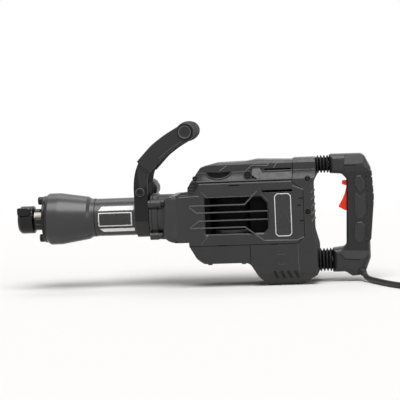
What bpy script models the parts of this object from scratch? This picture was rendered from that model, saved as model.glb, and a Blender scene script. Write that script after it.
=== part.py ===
"""Electric demolition hammer with a clamp-on side handle and a sprung rear handle.

Sizes are in millimetres, and MM turns them into Blender's metres. The frame empty sits on the
hammer axis, above the flat foot of the belly. X runs from the tool nose to the rear handle, the
side that faces -Y is the near side, and heights in the outlines count from the hammer axis.
"""
import math

import bmesh
import bpy
from mathutils import Matrix, Vector

MM = 0.001

# Fits and mesh fineness
GAP = 0.3
ARC_STEP = math.radians(28)
LARGE_SEGMENTS = 24
SEGMENTS = 20
SMALL_SEGMENTS = 10

# Main heights and widths of the body, from the hammer axis
AXIS_HEIGHT = 142.0
BODY_HALF_WIDTH = 58.0
FOOT_HALF_WIDTH = 42.0
BELLY_SHOULDER = 22.0
LOWER_SEAM = -59.5
UPPER_SEAM = 65.3
RIDGE_HALF_WIDTH = 31.0
RIDGE_FOOT = 82.5
RIDGE_CHAMFER = 8.0
RIDGE_TOP = 105.0
RIDGE_STEP = 3.5
RIDGE_RAMP_X = -68.0
RIDGE_RAMP_LENGTH = 21.0
WALL = 4.0

# Stations along the body
CASE_FRONT_X = -255.5
CASE_FLANGE = 11.5
CASE_NECK = 27.0
PANEL_FRONT_X = -204.0
BELLY_FRONT_X = -181.0
BELLY_STEP_X = -60.0
PANEL_REAR_X = 46.0
TAIL_SEAM_X = 25.5
BELLY_SEAM_X = 32.0
TAIL_REAR_X = 70.0
TAIL_WAIST = 9.0
CASE_TOP = 41.0
CASE_BOTTOM = -54.0
VENT_LEFT_X = -148.0
VENT_RIGHT_X = -25.0
VENT_LOW = -36.5
VENT_HIGH = 34.0
RIB_HEIGHTS = (20.0, 6.0, -10.0, -24.0)
RIB_HALF = 1.4
RIB_PROUD = 1.4
OIL_CAP_X = -119.0
OIL_CAP_RADIUS = 14.0

# Crank, gears and motor
CRANK_THROW = 20.0
ROD_LENGTH = 100.0
CYLINDER_BORE = 24.0
CYLINDER_OUTER = 29.7
CHAMBER_RADIUS = 46.0
CHAMBER_FLOOR = -30.0
DECK_TOP = 36.0
ROD_HALF_THICKNESS = 7.0
FIRST_MODULE = 2.3
FIRST_PINION_TEETH = 10
FIRST_GEAR_TEETH = 30
SECOND_MODULE = 2.65
SECOND_PINION_TEETH = 11
SECOND_GEAR_TEETH = 28
PRESSURE_ANGLE = math.radians(25)
BACKLASH = 0.5
MOTOR_X = 0.0
STATOR_RADIUS = 45.0
ARMATURE_RADIUS = 26.0
STATOR_FLOOR = -117.7
STATOR_HEIGHT = 68.0
WRIST_RADIUS = 6.0
CRANK_PIN_RADIUS = 10.0
BIG_END = 15.4
SMALL_END = 11.5
BRUSH_HALF = 4.0
CRANK_DISC_LOW = 11.0
CRANK_DISC_HIGH = 23.0
CRANK_SHAFT_RADIUS = 11.0
IDLER_SHAFT_RADIUS = 8.0
ARMATURE_SHAFT_RADIUS = 7.0
BEARING_LOW = 24.5
BEARING_HEIGHT = 11.0
UPPER_BEARING_LOW = 72.0
UPPER_BEARING_HEIGHT = 10.0
SECOND_GEAR_LOW = 40.0
SECOND_GEAR_HEIGHT = 12.0
FIRST_GEAR_LOW = 56.0
FIRST_GEAR_HEIGHT = 10.0
BEARING_RADII = {"crank": 26.0, "idler": 16.0, "motor": 16.0}
ADDENDUM = 0.8
CORE_HEIGHT = 58.0
ARMATURE_SLOTS = 10
SLOT_DEPTH = 10.0
COMMUTATOR_HEIGHT = 18.0
COMMUTATOR_RADIUS = 17.0
FAN_HEIGHT = 14.0
FAN_RADIUS = 42.0
FAN_BLADES = 6
CARRIER_HEIGHT = 5.0

# Barrel, front cover and tool nose
BARREL_LENGTH = 116.4
BARREL_WALL = 7.5
BARREL_RADIUS = CYLINDER_OUTER + GAP + BARREL_WALL
BARREL_FLANGE_RADIUS = 44.0
BARREL_FLANGE = 5.0
COVER_LENGTH = 99.2
COVER_FRONT_RADIUS = 51.5
COVER_REAR_RADIUS = 41.5
NOSE_RADIUS = 27.5
NOSE_LENGTH = 33.0
NECK_RADIUS = 21.5
NECK_LENGTH = 19.5
NOSE_FLANGE = 5.0
NOSE_FLANGE_RADIUS = 47.0
HEX_FLATS = 30.0
HEX_DEPTH = 92.0
FRONT_BOLT_CIRCLE = 37.5
ANVIL_NOSE = 13.5
ANVIL_TAIL = 14.0
ANVIL_COLLAR = 19.0
ANVIL_TRAVEL = 8.0
COLLAR_CONE = 3.0
STRIKER_BODY = 50.0
STRIKER_NOSE = 20.0
BUFFER_LENGTH = 24.0
SLEEVE_RADIUS = 25.0
BOLT_RADIUS = 5.0
BOLT_HEAD_RADIUS = 8.0
BOLT_HEAD = 12.5
BOLT_DEPTH = 26.0
LATCH_HEIGHT = 18.5
LATCH_RADIUS = 6.5
LATCH_SHOULDER = 15.5
THUMB_HALF = 7.5
THUMB_SINK = 4.0
BARREL_BOLTS = ((42.0, 26.0), (31.0, -38.0))
LUG_RADIUS = 8.0

# Side handle
STRAP_SETBACK = 20.0
STRAP_X = CASE_FRONT_X - STRAP_SETBACK
STRAP_WIDTH = 27.0
STRAP_THICKNESS = 4.0
STRAP_TOP = 108.0
LEG_LEAN = 13.5
LEG_SHARES = ((0.0, 0.15), (0.09, 0.38), (0.3, 0.62), (0.67, 0.85), (1.0, 1.0))
CLAMP_HEIGHT = 50.0
CLAMP_BOLT_RADIUS = 5.0
KNOB_RADIUS = 20.0
ARM_THICKNESS = 9.0
ARM_WIDTH = 33.0
ARM_EYE_RIM = 1.5
EYE_POINTS = 8
ARM_SHARES = ((0.09, 0.108), (0.273, 0.355), (0.398, 0.514), (0.518, 0.63), (0.682, 0.773), (1.0, 1.0))
SIDE_GRIP_REACH = 94.5
SIDE_GRIP_X = STRAP_X + SIDE_GRIP_REACH
SIDE_GRIP_HEIGHT = 165.5
SIDE_GRIP_RADIUS = 19.5
CLAMP_HEAD_RADIUS = 9.0
KNOB_DEPTH = 60.0
KNOB_FLUTES = 6
GRIP_ROD_RADIUS = 6.0
GRIP_RIBS = 4
GRIP_CAP_RADIUS = 14.5

# Rear handle
HANDLE_FRONT_X = 96.0
HANDLE_HALF_WIDTH = 21.0
HANDLE_WALL = 6.0
HANDLE_TRAVEL = 6.0
UPPER_ROD_HEIGHT = 90.0
LOWER_ROD_HEIGHT = -99.0
ROD_RADIUS = 7.0
TRIGGER_HALF_WIDTH = 9.0
TRIGGER_X = 138.0
TRIGGER_HEIGHT = 54.0
HANDLE_ROUND = 9.0
HANDLE_ROUND_STEPS = 2
TRIGGER_SLOT = (-5.0, 63.0)
TRUNNION = 3.0
TRUNNION_REACH = 17.0
PAD_HALF_WIDTH = 16.0
PAD_GROOVES = 8
BELLOWS_FOLDS = 4
BELLOWS_DEPTH = 4.0
BELLOWS_WALL = 2.2
UPPER_BELLOWS_RADIUS = 18.0
LOWER_BELLOWS_RADIUS = 23.0
UPPER_ROD_END_X = 34.0
LOWER_ROD_END_X = 55.0
SPRING_RADIUS = 9.6
SPRING_WIRE = 1.2
SPRING_CURLS = 4
SPRING_POINTS = 8

# Mains cord, with places from the middle of the foot and heights from the floor
CORD_RADIUS = 5.5
CORD_ROUTE = [
    (157.1, -22.0, 15.3), (162.2, -30.7, 8.75), (169.5, -44.0, 6.3), (178.5, -61.0, 5.8),
    (189.0, -83.0, 5.8), (203.0, -110.0, 5.8), (221.0, -140.0, 5.8), (245.0, -170.0, 5.8),
    (274.0, -194.0, 6.2), (302.0, -206.0, 6.9), (322.0, -208.5, 7.2), (336.0, -208.5, 7.2),
]
GUARD_START = (146.0, -3.0, 29.6)
GUARD_RADIUS = 8.5
GUARD_TIP_RADIUS = 6.6
GUARD_GROOVES = 3
COIL_TURNS = 3
COIL_RADIUS = 79.0
COIL_PITCH = 11.8
CLIMB_DIP = 3.0
LOOP_POINTS = 24
LEAD_OUT = 46.0
TIE_WIDTH = 14.0
TIE_THICKNESS = 1.0
PLUG_RADIUS = 18.5
PLUG_LENGTH = 40.0
PIN_LENGTH = 19.0

# Sizes worked out from the ones above
SHAFT_STEP_ONE = FIRST_MODULE * (FIRST_PINION_TEETH + FIRST_GEAR_TEETH) / 2
SHAFT_STEP_TWO = SECOND_MODULE * (SECOND_PINION_TEETH + SECOND_GEAR_TEETH) / 2
IDLER_X = MOTOR_X - SHAFT_STEP_ONE
CRANK_X = IDLER_X - SHAFT_STEP_TWO
CRANK_PIN_X = CRANK_X - CRANK_THROW
WRIST_X = CRANK_PIN_X - ROD_LENGTH
BARREL_REAR_X = CASE_FRONT_X - GAP
BARREL_FRONT_X = BARREL_REAR_X - BARREL_LENGTH
COVER_REAR_X = BARREL_FRONT_X - GAP
COVER_FRONT_X = COVER_REAR_X - COVER_LENGTH
FLANGE_REAR_X = COVER_FRONT_X - GAP
FLANGE_FRONT_X = FLANGE_REAR_X - NOSE_FLANGE
NOSE_REAR_X = FLANGE_FRONT_X - NECK_LENGTH
NOSE_FRONT_X = NOSE_REAR_X - NOSE_LENGTH
HEX_END_X = NOSE_FRONT_X + HEX_DEPTH
FLOOR = -AXIS_HEIGHT
PANEL_SHELF_X = BELLY_FRONT_X + 21
LATCH_X = NOSE_FRONT_X + 20
PISTON_FRONT_X = WRIST_X - 34
PISTON_REAR_X = WRIST_X + 13
STRIKER_REAR_X = PISTON_FRONT_X - 15
STRIKER_FRONT_X = STRIKER_REAR_X - STRIKER_BODY - STRIKER_NOSE
ANVIL_REAR_X = STRIKER_FRONT_X - 10
ANVIL_FRONT_X = HEX_END_X + 1
BUFFER_FRONT_X = HEX_END_X + 2 + 2 * GAP
GUIDE_FRONT_X = BUFFER_FRONT_X + BUFFER_LENGTH + GAP
COLLAR_FRONT_X = GUIDE_FRONT_X + ANVIL_TRAVEL + COLLAR_CONE + GAP
COLLAR_REAR_X = COLLAR_FRONT_X + 18
SLEEVE_FRONT_X = ANVIL_REAR_X - 10
SLEEVE_REAR_X = WRIST_X + 22
MOTOR_FOOT = FLOOR + WALL + 5
CORE_LOW = STATOR_FLOOR + 5
COMMUTATOR_LOW = CORE_LOW + CORE_HEIGHT + 15
FAN_LOW = COMMUTATOR_LOW + COMMUTATOR_HEIGHT + 8
CARRIER_LOW = STATOR_FLOOR + STATOR_HEIGHT + GAP

FINISHES = {
    "black_steel": ((0.02, 0.02, 0.022), 0.38, 0.9),
    "grey_casting": ((0.11, 0.11, 0.115), 0.42, 0.6),
    "bright_steel": ((0.5, 0.5, 0.52), 0.28, 1.0),
    "dark_plastic": ((0.03, 0.03, 0.032), 0.5, 0.0),
    "soft_rubber": ((0.015, 0.015, 0.016), 0.75, 0.0),
    "red_plastic": ((0.75, 0.03, 0.015), 0.35, 0.0),
}


# Scene and finish helpers

def clear_scene():
    for item in list(bpy.data.objects):
        bpy.data.objects.remove(item, do_unlink=True)


def make_finishes():
    """One plain material for each finish the hammer has."""
    made = {}
    for name, (colour, roughness, metallic) in FINISHES.items():
        material = bpy.data.materials.new(name)
        material.use_nodes = True
        shader = material.node_tree.nodes["Principled BSDF"]
        shader.inputs["Base Color"].default_value = (*colour, 1.0)
        shader.inputs["Roughness"].default_value = roughness
        shader.inputs["Metallic"].default_value = metallic
        material.diffuse_color = (*colour, 1.0)
        made[name] = material
    return made


def pivot(name, x, y, z, parent=None):
    """An empty on a joint's axis, placed in its parent's frame."""
    empty = bpy.data.objects.new(name, None)
    bpy.context.collection.objects.link(empty)
    empty.location = Vector((x, y, z)) * MM
    empty.parent = parent
    return empty


def dress(piece, finish, holder):
    """Give a finished piece its material, its shading and the empty that carries it."""
    piece.data.materials.clear()
    piece.data.materials.append(FINISH[finish])
    if piece.type == "MESH":
        piece.data.shade_smooth()
        piece.data.set_sharp_from_angle(angle=math.radians(35))
    if holder is not FRAME:
        piece.data.transform(Matrix.Translation(-holder.location))
    piece.parent = holder
    return piece


# Outline helpers

def rounded(corners):
    """Outline through the corners, with an arc at each corner that gives a radius."""
    points = []
    for index, corner in enumerate(corners):
        here = Vector(corner[:2])
        if len(corner) == 2:
            points.append(tuple(here))
            continue
        before = (Vector(corners[index - 1][:2]) - here).normalized()
        after = (Vector(corners[(index + 1) % len(corners)][:2]) - here).normalized()
        turn = math.pi - before.angle(after)
        centre = here + (before + after).normalized() * corner[2] / math.cos(turn / 2)
        start = here + before * corner[2] * math.tan(turn / 2) - centre
        side = 1 if before.cross(after) < 0 else -1
        steps = max(2, round(turn / ARC_STEP))
        for step in range(steps + 1):
            spoke = start.copy()
            spoke.rotate(Matrix.Rotation(side * turn * step / steps, 2))
            points.append(tuple(centre + spoke))
    return points


def inset(corners, depth):
    """The same outline moved inwards by a wall, with its radii eased to match."""
    count = len(corners)
    area = sum(corners[i - 1][0] * corners[i][1] - corners[i][0] * corners[i - 1][1] for i in range(count))
    turn = 1 if area > 0 else -1
    moved = []
    for index, corner in enumerate(corners):
        here = Vector(corner[:2])
        arriving = (here - Vector(corners[index - 1][:2])).normalized()
        leaving = (Vector(corners[(index + 1) % count][:2]) - here).normalized()
        first = Vector((-arriving.y, arriving.x)) * turn
        second = Vector((-leaving.y, leaving.x)) * turn
        place = here + (first + second) * depth / (1 + first.dot(second))
        if len(corner) == 3:
            convex = arriving.cross(leaving) * turn > 0
            radius = max(corner[2] - depth, GAP) if convex else corner[2] + depth
            moved.append((place.x, place.y, radius))
        else:
            moved.append((place.x, place.y))
    return moved


# Solid helpers

def solid(name, mesh):
    """Close a bmesh into an object in the hammer's frame."""
    bmesh.ops.recalc_face_normals(mesh, faces=mesh.faces)
    data = bpy.data.meshes.new(name)
    mesh.to_mesh(data)
    mesh.free()
    piece = bpy.data.objects.new(name, data)
    bpy.context.collection.objects.link(piece)
    piece.parent = FRAME
    return piece


def prism(name, outline, low, high, plane="XZ"):
    """Extrude an outline in one of the main planes between two stations across it."""
    places = {
        "XZ": lambda u, v, w: (u, w, v),
        "XY": lambda u, v, w: (u, v, w),
        "YZ": lambda u, v, w: (w, u, v),
    }
    place = places[plane]
    mesh = bmesh.new()
    base = [mesh.verts.new(Vector(place(u, v, low)) * MM) for u, v in outline]
    top = [mesh.verts.new(Vector(place(u, v, high)) * MM) for u, v in outline]
    mesh.faces.new(base)
    mesh.faces.new(top)
    for index in range(len(outline)):
        mesh.faces.new((base[index - 1], base[index], top[index], top[index - 1]))
    return solid(name, mesh)


def loft(name, sections):
    """Skin side-view outlines with equal point counts, given with their stations across."""
    mesh = bmesh.new()
    rings = []
    for outline, station in sections:
        rings.append([mesh.verts.new(Vector((u, station, v)) * MM) for u, v in outline])
    mesh.faces.new(rings[0])
    mesh.faces.new(rings[-1])
    for first, second in zip(rings, rings[1:]):
        for index in range(len(first)):
            mesh.faces.new((first[index - 1], first[index], second[index], second[index - 1]))
    return solid(name, mesh)


def aimed(piece, start, towards):
    """Move a piece that was made along Z so that it starts at one place and points at another."""
    direction = Vector(towards) - Vector(start)
    turn = direction.to_track_quat("Z", "Y").to_matrix().to_4x4()
    piece.data.transform(Matrix.Translation(Vector(start) * MM) @ turn)
    return piece


def turned(name, profile, axis="X", centre=(0, 0, 0), segments=SEGMENTS):
    """Turn a closed profile of (radius, station) points about a line along one main axis."""
    places = {
        "X": lambda r, turn, s: (s, r * math.cos(turn), r * math.sin(turn)),
        "Y": lambda r, turn, s: (r * math.cos(turn), s, r * math.sin(turn)),
        "Z": lambda r, turn, s: (r * math.cos(turn), r * math.sin(turn), s),
    }
    place = places[axis]
    mesh = bmesh.new()
    rings = []
    for radius, station in profile:
        count = segments if radius > 0 else 1
        turns = [2 * math.pi * (step + 0.5) / count for step in range(count)]
        spots = [Vector(place(radius, turn, station)) + Vector(centre) for turn in turns]
        rings.append([mesh.verts.new(spot * MM) for spot in spots])
    for ring, following in zip(rings, rings[1:] + rings[:1]):
        for step in range(max(len(ring), len(following))):
            corners = [
                ring[step % len(ring)], ring[(step + 1) % len(ring)],
                following[(step + 1) % len(following)], following[step % len(following)],
            ]
            corners = list(dict.fromkeys(corners))
            if len(corners) > 2:
                mesh.faces.new(corners)
    return solid(name, mesh)


def rod(name, radius, low, high, axis, centre=(0, 0, 0), segments=SMALL_SEGMENTS):
    """A plain round bar between two stations."""
    return turned(name, [(0, low), (radius, low), (radius, high), (0, high)], axis, centre, segments)


def ring(name, inner, outer, low, high, axis, centre=(0, 0, 0), segments=SEGMENTS):
    """A plain tube between two stations."""
    profile = [(inner, low), (outer, low), (outer, high), (inner, high)]
    return turned(name, profile, axis, centre, segments)


def evaluated_mesh(piece):
    """The piece's mesh with its modifiers applied."""
    bpy.context.view_layer.update()
    evaluated = piece.evaluated_get(bpy.context.evaluated_depsgraph_get())
    return bpy.data.meshes.new_from_object(evaluated)


def is_closed(data):
    """True where every edge of the mesh has exactly two faces."""
    mesh = bmesh.new()
    mesh.from_mesh(data)
    closed = all(edge.is_manifold for edge in mesh.edges)
    mesh.free()
    return closed


def combine(piece, tool, operation):
    """Boolean a tool into the piece; the second solver is for cuts that the first leaves open."""
    modifier = piece.modifiers.new("combine", "BOOLEAN")
    modifier.operation = operation
    modifier.object = tool
    for solver in ("EXACT", "MANIFOLD"):
        modifier.solver = solver
        data = evaluated_mesh(piece)
        if is_closed(data):
            break
    piece.modifiers.clear()
    piece.data = data
    bpy.data.objects.remove(tool, do_unlink=True)
    return piece


def cut(piece, *tools):
    for tool in tools:
        combine(piece, tool, "DIFFERENCE")
    return piece


def fuse(piece, *tools):
    for tool in tools:
        combine(piece, tool, "UNION")
    return piece


def keep(piece, *tools):
    for tool in tools:
        combine(piece, tool, "INTERSECT")
    return piece


def soften(piece, width, segments=2):
    """Round the piece's sharp edges."""
    modifier = piece.modifiers.new("soften", "BEVEL")
    modifier.width = width * MM
    modifier.segments = segments
    modifier.limit_method = "ANGLE"
    modifier.angle_limit = math.radians(50)
    modifier.use_clamp_overlap = True
    data = evaluated_mesh(piece)
    piece.modifiers.clear()
    piece.data = data
    return piece


def wire(name, points, radius, sides):
    """A round tube along points, with filled ends."""
    curve = bpy.data.curves.new(name, "CURVE")
    curve.dimensions = "3D"
    curve.bevel_depth = radius * MM
    curve.bevel_resolution = sides
    curve.use_fill_caps = True
    spline = curve.splines.new("POLY")
    spline.points.add(len(points) - 1)
    for spot, place in zip(spline.points, points):
        spot.co = (*(Vector(place) * MM), 1.0)
    piece = bpy.data.objects.new(name, curve)
    bpy.context.collection.objects.link(piece)
    piece.parent = FRAME
    return piece


def smooth_route(places, step):
    """Points at an even step along a smooth curve through the places."""
    spots = [Vector(place) for place in places]
    spots = [2 * spots[0] - spots[1]] + spots + [2 * spots[-1] - spots[-2]]
    fine = []
    for a, b, c, d in zip(spots, spots[1:], spots[2:], spots[3:]):
        for part in range(20):
            t = part / 20
            bend = 2 * b + (c - a) * t + (2 * a - 5 * b + 4 * c - d) * t ** 2
            fine.append((bend + (3 * b - a - 3 * c + d) * t ** 3) / 2)
    fine.append(spots[-2])
    length = sum((b - a).length for a, b in zip(fine, fine[1:]))
    count = max(1, round(length / step))
    route = [fine[0]]
    walked = 0.0
    for a, b in zip(fine, fine[1:]):
        walked += (b - a).length
        if walked >= len(route) * length / count and len(route) < count:
            route.append(b)
    return route + [fine[-1]]


# Gears

def gear_outline(teeth, module, addendum, x, phase, flank_steps):
    """Involute gear outline about (x, 0), with its first tooth centred on the phase angle."""
    pitch_radius = module * teeth / 2
    base_radius = pitch_radius * math.cos(PRESSURE_ANGLE)
    root_radius = pitch_radius - 1.25 * module
    tip_radius = pitch_radius + addendum * module
    half_tooth = math.pi / (2 * teeth) - BACKLASH / (2 * pitch_radius)
    pitch_spread = math.tan(PRESSURE_ANGLE) - PRESSURE_ANGLE

    def half_angle(radius):
        slope = math.acos(min(1.0, base_radius / radius))
        return half_tooth + pitch_spread - (math.tan(slope) - slope)

    start = max(root_radius, base_radius)
    flank = [start + (tip_radius - start) * step / flank_steps for step in range(flank_steps + 1)]
    radii = flank if start - root_radius < GAP else [root_radius] + flank
    points = []
    for tooth in range(teeth):
        middle = phase + 2 * math.pi * tooth / teeth
        for radius in radii:
            turn = middle - half_angle(radius)
            points.append((x + radius * math.cos(turn), radius * math.sin(turn)))
        for radius in reversed(radii):
            turn = middle + half_angle(radius)
            points.append((x + radius * math.cos(turn), radius * math.sin(turn)))
    return points


# Shared outlines of the moulded body

def body_profile():
    """Cross-section of the whole moulded body, seen from behind."""
    half = [
        (FOOT_HALF_WIDTH, FLOOR, 12),
        (BODY_HALF_WIDTH - 3, FLOOR + BELLY_SHOULDER, 16),
        (BODY_HALF_WIDTH, LOWER_SEAM),
        (BODY_HALF_WIDTH, UPPER_SEAM + 2, 3),
        (RIDGE_HALF_WIDTH, RIDGE_FOOT, 2),
        (RIDGE_HALF_WIDTH - 1, RIDGE_TOP - RIDGE_CHAMFER, 3),
        (RIDGE_HALF_WIDTH - RIDGE_CHAMFER, RIDGE_TOP, 2),
    ]
    return half + [(-corner[0], *corner[1:]) for corner in reversed(half)]


def belly_outline(top, rear):
    """Side view of the lower housing, with its deep belly under the motor."""
    return [
        (BELLY_FRONT_X, top),
        (BELLY_FRONT_X, LOWER_SEAM),
        (BELLY_FRONT_X + 14, LOWER_SEAM - 25, 14),
        (BELLY_FRONT_X + 28, LOWER_SEAM - 35.5, 12),
        (BELLY_STEP_X - 4, LOWER_SEAM - 35.5, 16),
        (BELLY_STEP_X + 13, LOWER_SEAM - 64, 40),
        (BELLY_STEP_X + 32, FLOOR, 22),
        (BELLY_SEAM_X - 3, FLOOR, 30),
        (BELLY_SEAM_X + 10 + rear, FLOOR + 4),
        (BELLY_SEAM_X + rear, FLOOR + 34),
        (BELLY_SEAM_X + rear, top),
    ]


def ridge_outline(bottom, rear):
    """Side view of the gear cover, with its stepped ridge and its sloping front."""
    front = CASE_TOP + GAP
    return [
        (BELLY_FRONT_X + 1, min(bottom, front)),
        (BELLY_FRONT_X + 1, front + 14, 6),
        (BELLY_FRONT_X + 17, RIDGE_FOOT, 6),
        (BELLY_FRONT_X + 25, RIDGE_TOP - 11.5, 4),
        (BELLY_FRONT_X + 55, RIDGE_TOP - 4.5),
        (RIDGE_RAMP_X, RIDGE_TOP - RIDGE_STEP),
        (RIDGE_RAMP_X + RIDGE_RAMP_LENGTH, RIDGE_TOP),
        (TAIL_SEAM_X + rear, RIDGE_TOP),
        (TAIL_SEAM_X + rear, bottom),
        (PANEL_SHELF_X, bottom),
        (PANEL_SHELF_X, min(bottom, front)),
    ]


def panel_outline():
    """Side view of a side cover, with its chamfered rear corners."""
    return [
        (PANEL_FRONT_X, LOWER_SEAM + GAP),
        (PANEL_FRONT_X, CASE_TOP, 5),
        (PANEL_SHELF_X + GAP, CASE_TOP),
        (PANEL_SHELF_X + GAP, UPPER_SEAM - GAP),
        (TAIL_SEAM_X, UPPER_SEAM - GAP),
        (TAIL_SEAM_X, UPPER_SEAM - 5),
        (PANEL_REAR_X, UPPER_SEAM - 20),
        (PANEL_REAR_X, LOWER_SEAM + 13.5),
        (BELLY_SEAM_X, LOWER_SEAM + GAP),
    ]


def tail_outline(front):
    """Side view of the tail cover, waisted between the two handle bosses."""
    return [
        (TAIL_SEAM_X + front, RIDGE_TOP),
        (TAIL_REAR_X, RIDGE_TOP, 5),
        (TAIL_REAR_X, UPPER_ROD_HEIGHT - 20, 6),
        (TAIL_REAR_X - TAIL_WAIST, UPPER_ROD_HEIGHT - 36, 20),
        (TAIL_REAR_X - TAIL_WAIST, LOWER_ROD_HEIGHT + 58, 30),
        (TAIL_REAR_X - 1, LOWER_ROD_HEIGHT + 28, 12),
        (TAIL_REAR_X - 1, LOWER_ROD_HEIGHT - 24, 5),
        (TAIL_REAR_X - 10, LOWER_ROD_HEIGHT - 29, 8),
        (BELLY_SEAM_X + 10 + front, FLOOR + 4),
        (BELLY_SEAM_X + front, FLOOR + 34),
        (BELLY_SEAM_X + front, LOWER_SEAM),
        (PANEL_REAR_X + front, LOWER_SEAM + 13.5),
        (PANEL_REAR_X + front, UPPER_SEAM - 20),
        (TAIL_SEAM_X + front, UPPER_SEAM - 5),
    ]


def handle_outline():
    """Side view of the rear handle: an upper arm, an upright grip and a lower arm."""
    return [
        (HANDLE_FRONT_X, 111, 3),
        (HANDLE_FRONT_X + 66, 110, 16),
        (HANDLE_FRONT_X + 81, 80, 14),
        (HANDLE_FRONT_X + 84, 20, 60),
        (HANDLE_FRONT_X + 75, -66, 20),
        (HANDLE_FRONT_X + 75, -97, 12),
        (HANDLE_FRONT_X + 62, -130, 12),
        (HANDLE_FRONT_X + 38, -132, 6),
        (HANDLE_FRONT_X + 25, -123, 8),
        (HANDLE_FRONT_X, -123, 3),
        (HANDLE_FRONT_X, -76, 3),
        (HANDLE_FRONT_X + 28, -73, 10),
        (HANDLE_FRONT_X + 33, 60, 8),
        (HANDLE_FRONT_X + 24, 70, 8),
        (HANDLE_FRONT_X, 72, 3),
    ]


# Front end: tool nose, front cover, barrel and the striking train

def make_tool_holder():
    """Hex socket with a neck, a bolted flange and a sleeve inside the front cover."""
    sleeve = HEX_END_X + 2
    piece = turned("tool_holder", [
        (0, NOSE_FRONT_X), (NOSE_RADIUS - 4, NOSE_FRONT_X), (NOSE_RADIUS, NOSE_FRONT_X + 5),
        (NOSE_RADIUS, NOSE_REAR_X - 3), (NECK_RADIUS, NOSE_REAR_X),
        (NECK_RADIUS, FLANGE_FRONT_X), (NOSE_FLANGE_RADIUS, FLANGE_FRONT_X), (NOSE_FLANGE_RADIUS, FLANGE_REAR_X),
        (SLEEVE_RADIUS, FLANGE_REAR_X), (SLEEVE_RADIUS, sleeve), (0, sleeve),
    ])
    corner = HEX_FLATS / math.sqrt(3)
    hexagon = [(corner * math.cos(math.pi * step / 3), corner * math.sin(math.pi * step / 3)) for step in range(6)]
    cut(piece, prism("hex", hexagon, NOSE_FRONT_X - 1, HEX_END_X, "YZ"))
    cut(piece, rod("tail_bore", ANVIL_NOSE + GAP, HEX_END_X - 1, sleeve + 1, "X", segments=SEGMENTS))
    low = LATCH_HEIGHT - THUMB_HALF - GAP
    flat = [
        (NOSE_FRONT_X - 1, low), (NOSE_REAR_X + 2, low), (NOSE_REAR_X + 2, NOSE_RADIUS + 5), (NOSE_FRONT_X - 1, NOSE_RADIUS + 5),
    ]
    cut(piece, prism("thumb_flat", flat, -NOSE_RADIUS - 5, -NOSE_RADIUS + THUMB_SINK + GAP))
    latch = (LATCH_X, 0, LATCH_HEIGHT)
    cut(piece, rod("latch_bore", LATCH_RADIUS + GAP, -NOSE_RADIUS - 5, NOSE_RADIUS + 5, "Y", latch, SEGMENTS))
    for place in front_bolt_places():
        cut(piece, rod("bolt_hole", BOLT_RADIUS + GAP, FLANGE_FRONT_X - 1, FLANGE_REAR_X + 1, "X", place, 8))
    return dress(piece, "black_steel", FRAME)


def front_bolt_places():
    """Middles of the four front bolts, at the top, the bottom and both sides."""
    turns = [math.pi / 2 * step for step in range(4)]
    return [(0, FRONT_BOLT_CIRCLE * math.cos(turn), FRONT_BOLT_CIRCLE * math.sin(turn)) for turn in turns]


def cap_screw(name, seat, centre):
    """A socket cap screw along +X, with the underside of its head on the seat."""
    head = BOLT_HEAD_RADIUS
    top = seat - BOLT_HEAD
    end = COVER_FRONT_X + BOLT_DEPTH - GAP
    return turned(name, [
        (0, end), (BOLT_RADIUS, end), (BOLT_RADIUS, seat), (head, seat), (head, top + 1), (head - 1, top),
        (head / 2, top), (head / 2, top + BOLT_HEAD / 2), (0, top + BOLT_HEAD / 2),
    ], "X", centre, 8)


def make_front_bolts():
    for name, place in zip(("far", "top", "near", "bottom"), front_bolt_places()):
        screw = cap_screw("front_bolt_" + name, FLANGE_FRONT_X - GAP, place)
        dress(screw, "black_steel", FRAME)


def make_retainer_lever():
    """Cross pin with a thumb lever; a flat on the pin frees the tool when it is turned."""
    piece = rod("retainer_lever", LATCH_RADIUS, -NOSE_RADIUS - 1, NOSE_RADIUS + 2, "Y", (LATCH_X, 0, LATCH_HEIGHT))
    flat = LATCH_HEIGHT + LATCH_RADIUS * 0.35
    notch = [(LATCH_X - 8, flat), (LATCH_X + 8, flat), (LATCH_X + 8, flat + 9), (LATCH_X - 8, flat + 9)]
    cut(piece, prism("pin_flat", notch, -LATCH_SHOULDER + 3, LATCH_SHOULDER - 3))
    thumb = rounded([
        (LATCH_X - 19, LATCH_HEIGHT - THUMB_HALF, 3), (LATCH_X + 6, LATCH_HEIGHT - THUMB_HALF, 6),
        (LATCH_X + 6, LATCH_HEIGHT + THUMB_HALF, 6), (LATCH_X - 19, LATCH_HEIGHT + THUMB_HALF, 3),
    ])
    lever = prism("thumb", thumb, -NOSE_RADIUS - 3, -NOSE_RADIUS + THUMB_SINK)
    fuse(piece, soften(lever, 1, 1))
    return dress(piece, "black_steel", LATCH_PIVOT)


def make_front_cover():
    """Turned cover that bells out from the barrel and carries the nose."""
    piece = turned("front_cover", [
        (SLEEVE_RADIUS + GAP, COVER_FRONT_X), (COVER_FRONT_RADIUS - 4, COVER_FRONT_X),
        (COVER_FRONT_RADIUS, COVER_FRONT_X + 6), (COVER_FRONT_RADIUS, COVER_FRONT_X + 28),
        (COVER_REAR_RADIUS, COVER_REAR_X - 13), (BARREL_RADIUS + 1, COVER_REAR_X - 3), (BARREL_RADIUS + 1, COVER_REAR_X),
        (CYLINDER_OUTER + GAP, COVER_REAR_X), (CYLINDER_OUTER + GAP, HEX_END_X + 2 + GAP),
        (SLEEVE_RADIUS + GAP, HEX_END_X + 2 + GAP),
    ], segments=LARGE_SEGMENTS)
    for place in front_bolt_places():
        cut(piece, rod("bolt_hole", BOLT_RADIUS + GAP, COVER_FRONT_X - 1, COVER_FRONT_X + BOLT_DEPTH, "X", place, 8))
    return dress(piece, "grey_casting", FRAME)


def barrel_bolt_places():
    """Middles of the four barrel bolts, at the flange's corners."""
    return [(0, side * y, z) for y, z in BARREL_BOLTS for side in (-1, 1)]


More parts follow.
